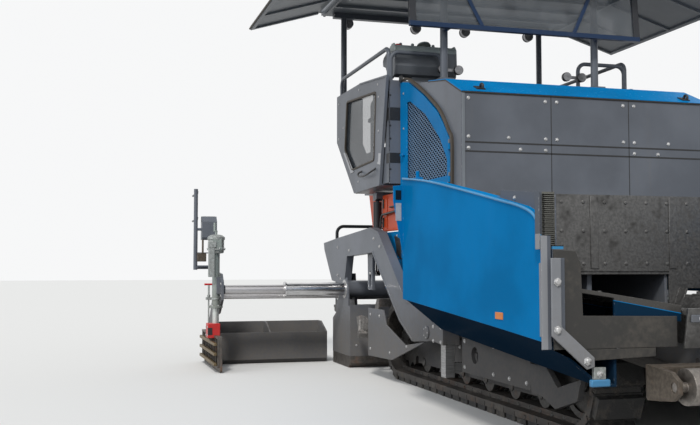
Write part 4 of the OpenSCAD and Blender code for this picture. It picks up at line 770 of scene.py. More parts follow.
class PAVER_OT_finishes(bpy.types.Operator):
    """Make every finish and give each node of the frame its own"""

    bl_idname = "paver.finishes"
    bl_label = "Finishes"

    def execute(self, context):
        colours = context.scene.paver_colours
        blue, grey, dark = (tuple(c) for c in (colours.body_blue, colours.frame_grey, colours.trim_dark))
        FINISH.update({
            "body blue": painted("body_blue", blue, 0.22, 0.06, 0.06, 0.5, mirror=0.01),
            "wing blue": painted("wing_blue", blue, 0.26, 0.05, 0.05, 0.6, 0.9,
                                 wing_regions(grey, (0.085, 0.082, 0.078)), 0.0),
            # painted highlight: paler blue for the wings' edges and noses
            "highlight blue": painted("highlight_blue", HIGHLIGHT_BLUE, 0.3, 0.1, 0.2, 0.5),
            "rail grey": painted("rail_grey", tuple(colours.rail_grey), 0.36, 0.1, 0.3, 0.4),
            "screed grey": painted("screed_grey", grey, 0.36, 0.1, 0.7, 0.8, 1.1, screed_regions),
            "pale grey": painted("pale_grey", tuple(colours.panel_pale), 0.4, 0.1, 0.4, 0.5),
            "frame grey": painted("frame_grey", grey, 0.36, 0.1, 0.6, 0.8),
            # darker grey: a dirt film, plus painted shade as under the wings' shadow
            "soiled and shaded grey": painted("soiled_and_shaded_grey", toned(grey, 0.42), 0.5, 0.02, 0.35, 0.8, mirror=0.1),
            "trim dark": painted("trim_dark", dark, 0.34, 0.1, 0.5, 0.5),
            "service orange": painted("service_orange", tuple(colours.service_orange), 0.3, 0.05, 0.15, 0.4,
                                      mirror=0.08),
            "hopper steel": metal("hopper_steel", (0.16, 0.158, 0.155), 0.42, 0.25, 0.6),
            "conveyor steel": metal("conveyor_steel", (0.17, 0.16, 0.155), 0.45, 0.35, 0.75),
            "wheel steel": metal("wheel_steel", (0.10, 0.098, 0.095), 0.5, 0.5, 0.25),
            "auger steel": metal("auger_steel", (0.24, 0.23, 0.22), 0.42, 0.5, 0.45),
            "guide steel": metal("guide_steel", (0.42, 0.42, 0.42), 0.36, 0.08, 0.05, (0.2, 0.2, 3.0)),
            "polished steel": metal("polished_steel", (0.62, 0.62, 0.63), 0.14, 0.0, 0.0,
                                    (3.0, 0.2, 3.0), 1.0),
            "sole steel": metal("sole_steel", (0.13, 0.12, 0.11), 0.5, 0.6, 0.55),
            "gate steel": metal("gate_steel", (0.13, 0.12, 0.11), 0.5, 0.6, 0.55, regions=gate_regions),
            "beam steel": metal("beam_steel", (0.13, 0.11, 0.09), 0.5, 0.45, 0.45),
            "roller steel": metal("roller_steel", (0.24, 0.22, 0.20), 0.36, 0.35, 0.3),
            "bolt steel": metal("bolt_steel", (0.50, 0.50, 0.50), 0.3, 0.1, 0.0),
            "track": track_steel("track", (0.018, 0.018, 0.018)),
            "flap rubber": rubbery("flap_rubber", (0.030, 0.029, 0.027), 0.7),
            "seal rubber": rubbery("seal_rubber", (0.045, 0.036, 0.026), 0.5, 60.0),
            "screen blue": painted("screen_blue", SCREEN_BLUE, 0.34, 0.1, 0.2, 0.6),
            "rib grey": painted("rib_grey", RIB_GREY, 0.4, 0.1, 0.3, 0.5),
            "gold steel": metal("gold_steel", (0.19, 0.145, 0.085), 0.45, 0.4, 0.45),
            "galvanised": metal("galvanised", (0.34, 0.36, 0.35), 0.5, 0.05, 0.04, (1.0, 1.0, 1.0), 0.55),
            "grille": painted("grille", (0.105, 0.19, 0.31), 0.4, 0.1, 0.15, 0.3, mirror=0.1),
            # the console's top band is painted paler, as lit
            "console grey": painted("console_grey", (0.13, 0.142, 0.158), 0.4, 0.1, 0.3, 0.4,
                                    regions=console_regions),
            "screen frame": painted("screen_frame", dark, 0.34, 0.1, 0.3, 0.5, regions=screen_regions),
            "pale edge": painted("pale_edge", (0.24, 0.25, 0.27), 0.4, 0.1, 0.5, 0.8),
            "strip": plain_coloured("strip", (0.42, 0.43, 0.45), 0.3),
            "black plastic": plain_coloured("black_plastic", (0.016, 0.016, 0.017), 0.42),
            "lens": plain_coloured("lens", (0.82, 0.83, 0.80), 0.12),
            "dark screen": plain_coloured("dark_screen", (0.010, 0.012, 0.015), 0.08),
            "yellow button": plain_coloured("yellow_button", (0.75, 0.42, 0.02), 0.35),
            "reflector": plain_coloured("reflector", (0.72, 0.20, 0.02), 0.3),
            "signal red": painted("signal_red", (0.60, 0.010, 0.014), 0.3, 0.1, 0.2, 0.4),
            "tinted glass": pane("tinted_glass", (0.10, 0.115, 0.13), 0.44),
            "lamp shell": metal("lamp_shell", (0.25, 0.25, 0.26), 0.3, 0.0, 0.0),
            "seat cover": cloth_cover("seat_cover", tuple(colours.seat_black)),
        })
        for finish, names in NODE_FINISHES.items():
            for name in names:
                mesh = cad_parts[name].data
                mesh.materials.clear()
                mesh.materials.append(FINISH[finish])
        return {"FINISHED"}


# Studio

# half the floor's side, and the colours of what the part stands before and is lit by
FLOOR_REACH = 60.0
SKY, BACKDROP = (0.94, 0.97, 1.0), (0.93, 0.935, 0.94)
# the camera as fitted to the photograph: focal length and width in its pixels, place, angles in degrees
SENSOR, FOCAL_PIXELS, PHOTO_PIXELS = 36.0, 947.0, 700.0
CAMERA_PLACE, CAMERA_TURN, CAMERA_RISE = (7.3, -3.95, 1.05), 74.0, 3.17


class PAVER_OT_stage(bpy.types.Operator):
    """Make the pale floor, the studio light and the camera at the photograph's place"""

    bl_idname = "paver.stage"
    bl_label = "Studio"

    def execute(self, context):
        scene = context.scene
        scene.view_settings.view_transform = "Standard"
        # the floor is pale where it is seen or mirrored, and throws little light back
        s = Shade("floor")
        pale, dull = (s.node("ShaderNodeBsdfDiffuse", (), {"Color": tuple(colour)})
                      for colour in (scene.paver_colours.floor_pale, scene.paver_colours.floor_bounce))
        seen = s.either(*(s.node("ShaderNodeLightPath", out=ray)
                          for ray in ("Is Camera Ray", "Is Glossy Ray", "Is Transmission Ray")))
        shader = s.node("ShaderNodeMixShader", (), {0: seen, 1: dull, 2: pale})
        output = s.tree.nodes.new("ShaderNodeOutputMaterial")
        s.tree.links.new(shader.socket, output.inputs["Surface"])
        reach = FLOOR_REACH
        corners = [(-reach, -reach, 0.0), (reach, -reach, 0.0), (reach, reach, 0.0), (-reach, reach, 0.0)]
        mesh = bpy.data.meshes.new("floor")
        mesh.from_pydata(corners, [], [(0, 1, 2, 3)])
        mesh.materials.append(s.material)
        floor = bpy.data.objects.new("floor", mesh)
        scene.collection.objects.link(floor)

        world = bpy.data.worlds.new("studio")
        world.use_nodes = True
        scene.world = world
        tree = world.node_tree
        tree.nodes.clear()
        # the backdrop is what is seen or mirrored, the sky is what lights the part
        rays = tree.nodes.new("ShaderNodeLightPath")
        watched = rays.outputs["Is Camera Ray"]
        for ray in ("Is Transmission Ray", "Is Glossy Ray"):
            larger = tree.nodes.new("ShaderNodeMath")
            larger.operation = "MAXIMUM"
            tree.links.new(watched, larger.inputs[0])
            tree.links.new(rays.outputs[ray], larger.inputs[1])
            watched = larger.outputs[0]
        blend = tree.nodes.new("ShaderNodeMixShader")
        tree.links.new(watched, blend.inputs[0])
        for number, colour, strength in ((1, SKY, 0.62), (2, BACKDROP, 1.0)):
            light = tree.nodes.new("ShaderNodeBackground")
            light.inputs["Color"].default_value = (*colour, 1.0)
            light.inputs["Strength"].default_value = strength
            tree.links.new(light.outputs[0], blend.inputs[number])
        output = tree.nodes.new("ShaderNodeOutputWorld")
        tree.links.new(blend.outputs[0], output.inputs["Surface"])

        def lamp(name, towards, strength, angle, colour):
            """A distant lamp that shines in one direction, seen as wide as the angle in degrees."""
            light = bpy.data.lights.new(name, "SUN")
            light.energy = strength
            light.angle = math.radians(angle)
            light.color = colour
            thing = bpy.data.objects.new(name, light)
            thing.rotation_mode = "QUATERNION"
            thing.rotation_quaternion = Vector(towards).to_track_quat("-Z", "Y")
            scene.collection.objects.link(thing)

        lamp("key", (-0.62, 0.30, -0.72), 1.7, 9.0, (1.0, 0.97, 0.93))
        lamp("fill", (-0.35, 0.90, -0.25), 0.95, 40.0, (0.95, 0.97, 1.0))

        camera = bpy.data.cameras.new("camera")
        camera.sensor_width = SENSOR
        camera.lens = SENSOR * FOCAL_PIXELS / PHOTO_PIXELS
        camera.clip_start, camera.clip_end = 0.1, 400.0
        thing = bpy.data.objects.new("camera", camera)
        thing.location = CAMERA_PLACE
        turn, rise = math.radians(CAMERA_TURN), math.radians(CAMERA_RISE)
        ahead = Vector((-math.sin(turn) * math.cos(rise), math.cos(turn) * math.cos(rise), math.sin(rise)))
        thing.rotation_mode = "QUATERNION"
        thing.rotation_quaternion = ahead.to_track_quat("-Z", "Y")
        scene.collection.objects.link(thing)
        scene.camera = thing
        return {"FINISHED"}


# Seats


def cushion_block(low, high, crown, power=5.0, rows=28, columns=56):
    """A crowned pad between two corners: a ball whose cosines and sines are raised to a small
    power, so it fills its box, and whose top rises by crown towards its middle."""
    low, high = np.asarray(low, float), np.asarray(high, float)
    lift = np.linspace(-math.pi / 2, math.pi / 2, rows)[1:-1, None]
    turn = np.linspace(0, 2 * math.pi, columns, endpoint=False)[None]

    def flat(value):
        """The value with its sign, its size raised to two over the power."""
        return np.sign(value) * np.abs(value) ** (2.0 / power)

    x = flat(np.cos(lift)) * flat(np.cos(turn))
    y = flat(np.cos(lift)) * flat(np.sin(turn))
    z = flat(np.sin(lift)) * np.ones_like(turn)
    z = z + crown * (1 - x**2) * (1 - y**2) * (z > 0)
    points = np.stack([x, y, z], -1).reshape(-1, 3) * (high - low) / 2 + (high + low) / 2
    count = (rows - 2) * columns
    faces = [tuple(f) for f in grid_faces(rows - 2, columns, False, True)]
    faces += [tuple(range(columns)), tuple(range(count - columns, count))]
    return points, faces


# frames that the padding's simulation runs for
FILL_FRAMES = 20


def stuffed(piece, voxel, pressure, cap):
    """Fills a pad: the mesh is remade of even cells, swells as cloth under pressure for some
    frames, and no point moves more than cap."""
    scene = bpy.context.scene
    bpy.context.view_layer.objects.active = piece
    piece.select_set(True)
    remesh = piece.modifiers.new("cells", "REMESH")
    remesh.mode = "VOXEL"
    remesh.voxel_size = voxel
    bpy.ops.object.modifier_apply(modifier=remesh.name)
    count = len(piece.data.vertices) * 3
    before = np.empty(count)
    piece.data.vertices.foreach_get("co", before)
    cloth = piece.modifiers.new("filling", "CLOTH")
    cloth.settings.quality = 4
    cloth.settings.use_pressure = True
    cloth.settings.uniform_pressure_force = pressure
    cloth.settings.tension_stiffness = 12.0
    cloth.settings.effector_weights.gravity = 0.0
    cloth.point_cache.frame_start, cloth.point_cache.frame_end = 1, FILL_FRAMES
    for number in range(1, FILL_FRAMES + 1):
        scene.frame_set(number)
    graph = bpy.context.evaluated_depsgraph_get()
    moved = np.empty(count)
    piece.evaluated_get(graph).data.vertices.foreach_get("co", moved)
    piece.modifiers.remove(cloth)
    scene.frame_set(1)
    step = (moved - before).reshape(-1, 3)
    length = np.linalg.norm(step, axis=1)[:, None]
    step *= np.minimum(1.0, cap / np.maximum(length, 1e-9))
    before = (before.reshape(-1, 3) + step).ravel()
    piece.data.vertices.foreach_set("co", before)
    piece.data.update()
    piece.select_set(False)


def grooved(points, lines, axis, width, depth, towards):
    """Sewn channels: points near each line sink by depth times a bell curve of their distance."""
    dent = np.zeros(len(points))
    for line in lines:
        dent += depth * np.exp(-(((points[:, axis] - line) / width) ** 2))
    return points + dent[:, None] * np.asarray(towards, float)[None]


class PAVER_OT_seats(bpy.types.Operator):
    """Make the two padded operators' seats with their shells and armrests"""

    bl_idname = "paver.seats"
    bl_label = "Operators' seats"

    def execute(self, context):
        sizes = context.scene.paver_sizes
        # lowest and highest corner of each pad from the seat's own middle, and its lean to the rear
        pads = {
            "seat_cushion": ((-0.245, -0.24, 0.125), (0.255, 0.24, 0.225), None),
            "seat_back": ((-0.290, -0.23, 0.17), (-0.200, 0.23, 0.79), math.radians(8.0)),
        }
        column = [(0.075, 0.0), (0.075, 0.02), (0.055, 0.03), (0.055, 0.09), (0.12, 0.105), (0.12, 0.115)]
        rigid = [turned(column, (0, 0, 0), 2), bar((-0.25, -0.24, 0.10), (0.25, 0.24, 0.122))]
        for arm_y in (-0.29, 0.29):
            stalk = [(-0.02, arm_y * 0.265 / 0.29, 0.115), (-0.02, arm_y, 0.2), (-0.01, arm_y, 0.30)]
            rigid.append(tube(stalk, 0.013, 10, 8, (1, 0, 0)))
            low, high = (-0.215, arm_y - 0.033, 0.30), (0.175, arm_y + 0.033, 0.35)
            rigid.append(cushion_block(low, high, 0.1, 4.0, 14, 24))
        shell, faces = joined(rigid)
        seat_place = np.array([-2.05, 0.70, 2.2503])
        for name, side in SIDES:
            flip = np.array([1.0, side, 1.0])
            place = seat_place * flip
            points = shell * flip + place
            piece = make("seat_shell_" + name, (points, faces), "black plastic", "tractor", 0.004)
            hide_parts("operator_seats")
            for part, (low, high, tilt) in pads.items():
                points, pad_faces = cushion_block(low, high, 0.16 if tilt is None else 0.0)
                if tilt is not None:
                    fore = points[:, 0] + 0.245
                    bulge = 0.022 * np.cos(np.clip((points[:, 2] - 0.48) / 0.62, -1, 1) * math.pi / 2)
                    points[:, 0] += np.where(fore > 0, bulge, 0.0)
                pad = make(part + "_" + name, (points, pad_faces), "seat cover", "tractor")
                stuffed(pad, sizes.pad_voxel, sizes.pad_pressure, sizes.pad_cap)
                mesh = pad.data
                co = np.empty(len(mesh.vertices) * 3)
                mesh.vertices.foreach_get("co", co)
                co = co.reshape(-1, 3)
                if tilt is None:
                    top = co[:, 2] > 0.18
                    co[top] = grooved(co[top], (-0.12, 0.0, 0.12), 0, 0.007, 0.007, (0, 0, -1))
                    seam = np.exp(-(((co[:, 2] - 0.168) / 0.006) ** 2))[:, None]
                    co -= seam * 0.004 * np.sign(co) * np.array([1.0, 1.0, 0.0])
                else:
                    front = co[:, 0] > -0.235
                    co[front] = grooved(co[front], (0.34, 0.48, 0.62), 2, 0.008, 0.008, (-1, 0, 0))
                    turn = np.array([[math.cos(tilt), 0, math.sin(tilt)], [0, 1, 0],
                                     [-math.sin(tilt), 0, math.cos(tilt)]])
                    co = co @ turn
                co = co * flip + place
                mesh.vertices.foreach_set("co", co.ravel())
                if side < 0:
                    mesh.flip_normals()
                mesh.update()
                mesh.shade_smooth()
                fine = pad.modifiers.new("smooth", "SUBSURF")
                fine.levels = fine.render_levels = 1
                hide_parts("operator_seats")
        return {"FINISHED"}


# Hood and doors

# outline of a side door's opening, as x and z
DOOR_OPENING = [(-0.650, 1.760), (0.300, 1.760), (0.300, 1.890), (0.150, 2.075), (-0.190, 2.330),
                (-0.570, 2.500), (-0.650, 2.500)]


def wall_face():
    """Place along x of the rear face of the wall between hood and footwells."""
    return box("hood_shell")[0][0] - 0.006


def inside(points, outline, margin):
    """True where a point is inside an outline that bulges everywhere, or within margin of it:
    its distance to the left of each side is at least minus the margin."""
    corners = np.asarray(outline, float)
    along = np.roll(corners, -1, 0) - corners
    along /= np.linalg.norm(along, axis=1)[:, None]
    offset = points[:, None] - corners[None]
    return (along[None, :, 0] * offset[..., 1] - along[None, :, 1] * offset[..., 0] > -margin).all(1)


def perforated(outline, pitch, hole, y, thick):
    """A punched sheet of six-sided cells, every second row half a step on. A cell's corners lie
    half a step to each side and a third of a row up and down, its top two thirds of a row up, and
    the hole's corners are the cell's times the hole's share."""
    low, high = np.min(outline, 0), np.max(outline, 0)
    counts = np.ceil((high - low) / pitch).astype(int) + 2
    column, line = np.meshgrid(np.arange(counts[0]), np.arange(counts[1]), indexing="ij")
    x = low[0] + (column - 0.5 + 0.5 * (line % 2)) * pitch[0]
    z = low[1] + (line - 0.5) * pitch[1]
    centres = np.stack([x, z], -1).reshape(-1, 2)
    centres = centres[inside(centres, outline, 0.012)]
    third = 1 / 3
    cell = [(0, 2 * third), (-0.5, third), (-0.5, -third), (0, -2 * third), (0.5, -third), (0.5, third)]
    cell = np.array(cell) * pitch
    flat = centres[:, None, None, None] + np.stack([cell, cell * hole])[None, None]
    flat = flat + np.zeros((1, 2, 1, 1, 1))
    depth = np.array([y, y - thick])[None, :, None, None, None] + np.zeros((*flat.shape[:-1], 1))
    points = np.concatenate([flat[..., :1], depth, flat[..., 1:]], -1).reshape(-1, 3)
    k = np.arange(6)
    after = (k + 1) % 6
    front = np.stack([k, after, after + 6, k + 6], -1)
    wall = np.stack([k + 6, after + 6, after + 18, k + 18], -1)
    cells = np.concatenate([front, front[:, ::-1] + 12, wall])
    start = np.arange(len(centres)) * 24
    return points, (cells[None] + start[:, None, None]).reshape(-1, 4)


class PAVER_OT_door_trim(bpy.types.Operator):
    """Make the perforated sheets of the side doors, their rubber arcs, bolts and knobs"""

    bl_idname = "paver.door_trim"
    bl_label = "Side doors"

    def execute(self, context):
        sizes = context.scene.paver_sizes
        pitch = np.array([sizes.sheet_pitch * 3.4, sizes.sheet_pitch])
        sheet = perforated(DOOR_OPENING, pitch, 0.7, box("door_grille_left")[0][1] + 0.005, 0.003)
        for side, shape in (("left", sheet), ("right", mirrored(sheet))):
            piece = make("grille_" + side, shape, "grille", "side_door_" + side, shaded=False)
            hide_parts("door_grille_" + side)
        # the rubber lies on the hood's skin and follows the door's curved edge
        skin = box("hood_shell")[1][1] - 0.034
        edge = [(0.385, 1.66), (0.385, 2.02), (0.318, 2.12), (0.12, 2.318), (-0.22, 2.52), (-0.60, 2.70),
                (-0.80, 2.735)]
        strip = [(-0.011, 0.0), (-0.011, 0.020), (-0.005, 0.026), (0.005, 0.026), (0.011, 0.020),
                 (0.011, 0.0)]
        rubber = carried(strip, smooth(on_side(edge, skin), 8), (0, 1, 0))
        make("door_rubbers", both_sides(rubber), "seal rubber", "tractor")
        knob = turned([(0.034, 0.0), (0.034, 0.014), (0.028, 0.020), (0.004, 0.022)],
                      (-0.79, skin + 0.018, 2.742), 1)
        make("door_knobs", both_sides(knob), "black plastic", "tractor")
        face = box("side_door_left")[1][1] - 0.026
        places = ((-0.74, 1.70), (-0.74, 2.28), (-0.74, 2.60), (0.33, 1.70))
        for side, sign in SIDES:
            heads = [(x, sign * face, z) for x, z in places]
            bolts = studs(heads, 1, sign, sizes.bolt_radius * 0.8, 0.006)
            make("door_bolts_" + side, bolts, "bolt steel", "side_door_" + side)
        return {"FINISHED"}


class PAVER_OT_hood_trim(bpy.types.Operator):
    """Make the seams, bolts, corner strips and latches of the hood and its lid"""

    bl_idname = "paver.hood_trim"
    bl_label = "Hood"

    def execute(self, context):
        bolt = context.scene.paver_sizes.bolt_radius
        # the hood's front face and half width, and the lower and upper end of its front
        front, wide, low, top = 0.55, 1.12, 1.615, 2.388
        sunk, proud = front - 0.002, front + 0.0015
        seams = [bar((sunk, 0.03 - wide, z - 0.006), (proud, wide - 0.03, z + 0.006)) for z in (2.002, 1.930)]
        seams += [bar((sunk, y - 0.003, low), (proud, y + 0.003, top)) for y in (-0.35, 0.35)]
        make("hood_seams", joined(seams), "black plastic", "tractor")
        corner = bar((front, wide - 0.030, low), (front + 0.004, wide - 0.004, top))
        make("hood_corner_strips", both_sides(corner), "pale grey", "tractor", 0.0015)
        places = [(1.06, 2.345), (1.06, 2.045), (1.06, 1.955), (0.40, 2.345), (0.40, 2.045), (0.40, 1.955),
                  (0.30, 2.345), (0.30, 2.045), (0.62, 1.955), (0.72, 2.045)]
        spots = [(front, sign * y, z) for _, sign in SIDES for y, z in places]
        make("hood_bolts", studs(spots, 0, 1, bolt, 0.008), "bolt steel", "tractor")
        # rubber under the lid's rim, along the front and the sloping ends
        rim = [(front + 0.004, -wide + 0.004, 2.391), (front + 0.004, wide - 0.004, 2.391)]
        slope = [(front, 2.391), (0.221, 2.541), (-0.165, 2.600)]
        ends = [tube(on_side(slope, sign * (wide - 0.003)), 0.006, 8, 0, (0, 1, 0)) for _, sign in SIDES]
        make("lid_rubber", joined([tube(rim, 0.006, 8, 0), *ends]), "seal rubber", "tractor")
        # folding latches on the lid's slope: a plate and a bowed grip, as x and z from the plate
        fall = math.atan2(0.15, 0.33)
        bow = on_side([(-0.02, 0.006), (-0.012, 0.032), (0.02, 0.032), (0.028, 0.008)], 0.014)
        latches = []
        for y in (-0.93, 0.93):
            about = np.array([0.47, y, 2.441])
            plate = bar(about - (0.040, 0.036, 0.004), about + (0.040, 0.036, 0.008))
            grip = tube(about + bow, 0.011, 10, 6, (0, 1, 0))
            latches += [tipped(plate, fall, about), tipped(grip, fall, about)]
        make("lid_latches", joined(latches), "black plastic", "hood_lid")
        # rivets on the lid's upper slope, which starts at x 0.222
        heads = [(x, y, 2.551 + (0.222 - x) * 0.148) for y in (-1.05, 1.05) for x in row(0.18, -0.14, 4)]
        make("lid_rivets", studs(heads, 2, 1, bolt * 0.6, 0.004), "bolt steel", "hood_lid")
        return {"FINISHED"}


class PAVER_OT_body_trim(bpy.types.Operator):
    """Make the seams, bolts, handles and covers of the body's side and service panels"""

    bl_idname = "paver.body_trim"
    bl_label = "Body panels"

    def execute(self, context):
        bolt = context.scene.paver_sizes.bolt_radius
        face = box("body_side_panels")[1][1]
        sunk, proud = face - 0.002, face + 0.0015
        seams = [bar((x - 0.003, sunk, 0.84), (x + 0.003, proud, top))
                 for x, top in ((-0.86, 1.35), (-0.16, 1.59))]
        seams.append(bar((-1.33, sunk, 1.105), (0.54, proud, 1.111)))
        make("side_panel_seams", both_sides(joined(seams)), "black plastic", "tractor")
        heads = [(x, face, z) for x in row(-1.29, 0.50, 7) for z in (0.88, 1.32)]
        make("side_panel_bolts", both_sides(studs(heads, 1, 1, bolt * 0.8, 0.006)), "bolt steel", "tractor")
        outer = box("service_panels")[1][1]
        grip = outer + 0.03
        handle = tube([(-1.24, outer, 1.60), (-1.24, grip, 1.60), (-1.10, grip, 1.60), (-1.10, outer, 1.60)],
                      0.007, 8, 6)
        barrel = [(0.009, 0.0), (0.009, 0.09)]
        hinges = [turned(barrel, (-1.50, outer + 0.006, z), 2, 12) for z in (1.42, 1.60)]
        make("service_handles", both_sides(joined([handle, *hinges])), "black plastic", "tractor")
        ribs = [bar((x, outer, 1.40), (x + 0.012, outer + 0.006, 1.70)) for x in (-1.40, -0.95)]
        make("service_ribs", both_sides(joined(ribs)), "service orange", "tractor", 0.002)
        # cover behind the service panel, with the bent handle in front of it
        outline = [(-2.14, 1.775), (-1.545, 1.735), (-1.545, 1.41), (-2.02, 1.44)]
        cover = prism(outline, outer - 0.055, outer - 0.045, 1)
        make("rear_covers", both_sides(cover), "service orange", "tractor", 0.002)
        bend = [(-1.52, 1.415), (-1.505, 1.49), (-1.46, 1.535), (-1.38, 1.54), (-1.02, 1.555)]
        bent = tube(on_side(bend, grip), 0.011, 12, 6)
        stays = [bar((x - 0.008, outer - 0.002, z - 0.008), (x + 0.008, grip, z + 0.008))
                 for x, z in ((-1.505, 1.46), (-1.03, 1.555))]
        make("bent_handles", both_sides(joined([bent, *stays])), "black plastic", "tractor")
        # ribbed dark inlets low on the blue panels
        outline = [(-1.07, 1.325), (-0.875, 1.285), (-0.875, 1.09), (-0.985, 1.16)]
        inlet = prism(outline, face - 0.001, face + 0.003, 1)
        ribs = [bar((x, face + 0.003, 1.14), (x + 0.012, face + 0.006, 1.27)) for x in row(-0.996, -0.900, 4)]
        make("side_inlets", both_sides(joined([inlet, *ribs])), "black plastic", "tractor", 0.001)
        # dark recesses and bolts of the wall in front of the footwells
        # black sheets as painted shade in the wall's recesses in front of the footwells, and its bolts
        wall = wall_face()
        recess_shades = [bar((wall, 1.128, low), (wall + 0.003, 1.236, high))
                    for low, high in ((2.37, 2.487), (1.98, 2.07))]
        notch_shades = ([(-0.920, 2.43), (-0.895, 2.487), (wall, 2.487), (wall, 2.37), (-0.900, 2.37)],
                   [(-0.930, 1.98), (-0.930, 2.07), (wall, 2.07), (wall, 1.98)])
        recess_shades += [prism(notch, 1.2400, 1.2425, 1) for notch in notch_shades]
        make("wall_recess_shades", both_sides(joined(recess_shades)), "black plastic", "tractor")
        spots = [(wall, sign * y, z) for _, sign in SIDES
                 for y in (1.10, 1.232) for z in (2.20, 2.32, 2.60, 1.92)]
        make("wall_bolts", studs(spots, 0, 1, bolt * 0.7, 0.003), "black plastic", "tractor")
        return {"FINISHED"}


# Platform

# outline of a footwell's window, as x and z
WINDOW = [(-2.160, 2.750), (-2.240, 2.260), (-1.970, 2.020), (-1.220, 2.040), (-1.160, 2.680)]


class PAVER_OT_footwell_trim(bpy.types.Operator):
    """Make the window rubbers, gussets, edge strips, handles and bolts of the footwells"""

    bl_idname = "paver.footwell_trim"
    bl_label = "Footwells"

    def execute(self, context):
        bolt = context.scene.paver_sizes.bolt_radius
        face = box("footwell_panels")[1][1] - 0.008
        lip = [(-0.010, -0.012), (-0.010, 0.004), (-0.006, 0.007), (0.005, 0.007), (0.010, 0.002),
               (0.010, -0.012)]
        rubber = carried(lip, on_side(rounded(WINDOW, 0.035), face), (0, 1, 0), True)
        make("window_rubbers", both_sides(rubber), "seal rubber", "tractor")
        # a bowed handle, its middle points away from the panel
        bow = np.array([(-1.62, -0.004, 1.975), (-1.63, 0.035, 1.950), (-1.55, 0.050, 1.915),
                        (-1.36, 0.052, 1.905), (-1.22, 0.040, 1.925), (-1.17, -0.004, 1.960)])
        handle = tube(bow + (0, face, 0), 0.009, 10, 6)
        make("footwell_handles", both_sides(handle), "black plastic", "tractor")
        # gussets that close the gap between the panel and the wall in front of the footwell
        wall = wall_face()
        outline = [(-1.042, 1.800), (wall, 1.800), (wall, 2.735), (-0.836, 2.735)]
        gusset = prism(outline, face - 0.038, face - 0.030, 1)
        make("footwell_gussets", both_sides(gusset), "frame grey", "tractor", 0.001)
        # folded strips at the window's rear corner and at the front edge
        outlines = ([(-2.285, 2.232), (-2.18, 2.218), (-1.90, 1.995), (-2.00, 1.985)],
                    [(-1.075, 2.090), (-0.985, 2.080), (-1.005, 1.975), (-1.085, 1.990)])
        strips = [prism(outline, face - 0.001, face + 0.005, 1) for outline in outlines]
        make("footwell_strips", both_sides(joined(strips)), "strip", "tractor", 0.001)
        places = [(-1.08, 2.62), (-1.08, 2.30), (-1.10, 2.00), (-1.75, 1.88), (-2.30, 2.50), (-2.48, 2.40),
                  (-2.48, 2.78), (-1.72, 2.80), (-1.10, 2.745)]
        heads = [(x, face, z) for x, z in places]
        make("footwell_bolts", both_sides(studs(heads, 1, 1, bolt * 0.8, 0.005)), "bolt steel", "tractor")
        return {"FINISHED"}


class PAVER_OT_platform_trim(bpy.types.Operator):
    """Make the tread mat, the seat boxes' lids, the step treads and the rail flanges"""

    bl_idname = "paver.platform_trim"
    bl_label = "Platform"

    def execute(self, context):
        bolt = context.scene.paver_sizes.bolt_radius
        floor = PLATFORM_TOP
        mat_top = floor + 0.004
        mat = bar((-2.42, -0.44, floor), (-0.90, 0.44, mat_top))
        make("tread_mat", mat, "black plastic", "tractor", 0.002)
        # every second row of studs is half a step on
        lines, columns = 42, 22
        x, y = np.meshgrid(row(-2.38, -0.94, lines), row(-0.40, 0.40, columns), indexing="ij")
        x = x + 0.017 * (np.arange(columns) % 2)
        spots = np.stack([x, y, np.full_like(x, mat_top)], -1).reshape(-1, 3)
        make("tread_studs", studs(spots, 2, 1, 0.008, 0.003, 6, 1.3), "black plastic", "tractor")
        seats = (-0.7125, 0.7125)
        lids = [bar((-1.832, y - 0.22, 1.92), (-1.826, y + 0.22, 2.20)) for y in seats]
        button = [(0.022, 0.0), (0.022, 0.006), (0.012, 0.008), (0.012, 0.014), (0.002, 0.015)]
        latches = [turned(button, (-1.826, y, 2.14), 0, 16) for y in seats]
        make("seat_box_lids", joined(lids), "frame grey", "tractor", 0.002)
        make("seat_box_latches", joined(latches), "black plastic", "tractor")
        # three treads on each of the two rear steps
        corners = [(-2.69 + step * 0.11 + tread * 0.035, 1.53 + step * 0.17)
                   for step in range(2) for tread in range(3)]
        treads = [bar((x, -0.235, z), (x + 0.012, 0.235, z + 0.004)) for x, z in corners]
        make("step_treads", joined(treads), "bolt steel", "tractor")
        # flanges at the feet of the rails behind the seats
        feet = [(-2.461, y, floor) for y in (0.3, 0.9, -0.3, -0.9)]
        flange = [(0.045, 0.0), (0.045, 0.008), (0.024, 0.010), (0.024, 0.018), (0.0195, 0.019)]
        make("rail_flanges", joined([turned(flange, foot, 2) for foot in feet]), "trim dark", "tractor")
        rings = [bolt_circle(foot, 0.034, (0.8, 2.37, 3.94, 5.51)) for foot in feet]
        heads = np.vstack(rings) + (0, 0, 0.008)
        make("rail_bolts", studs(heads, 2, 1, bolt * 0.5, 0.005, 6, 1.2), "bolt steel", "tractor")
        return {"FINISHED"}


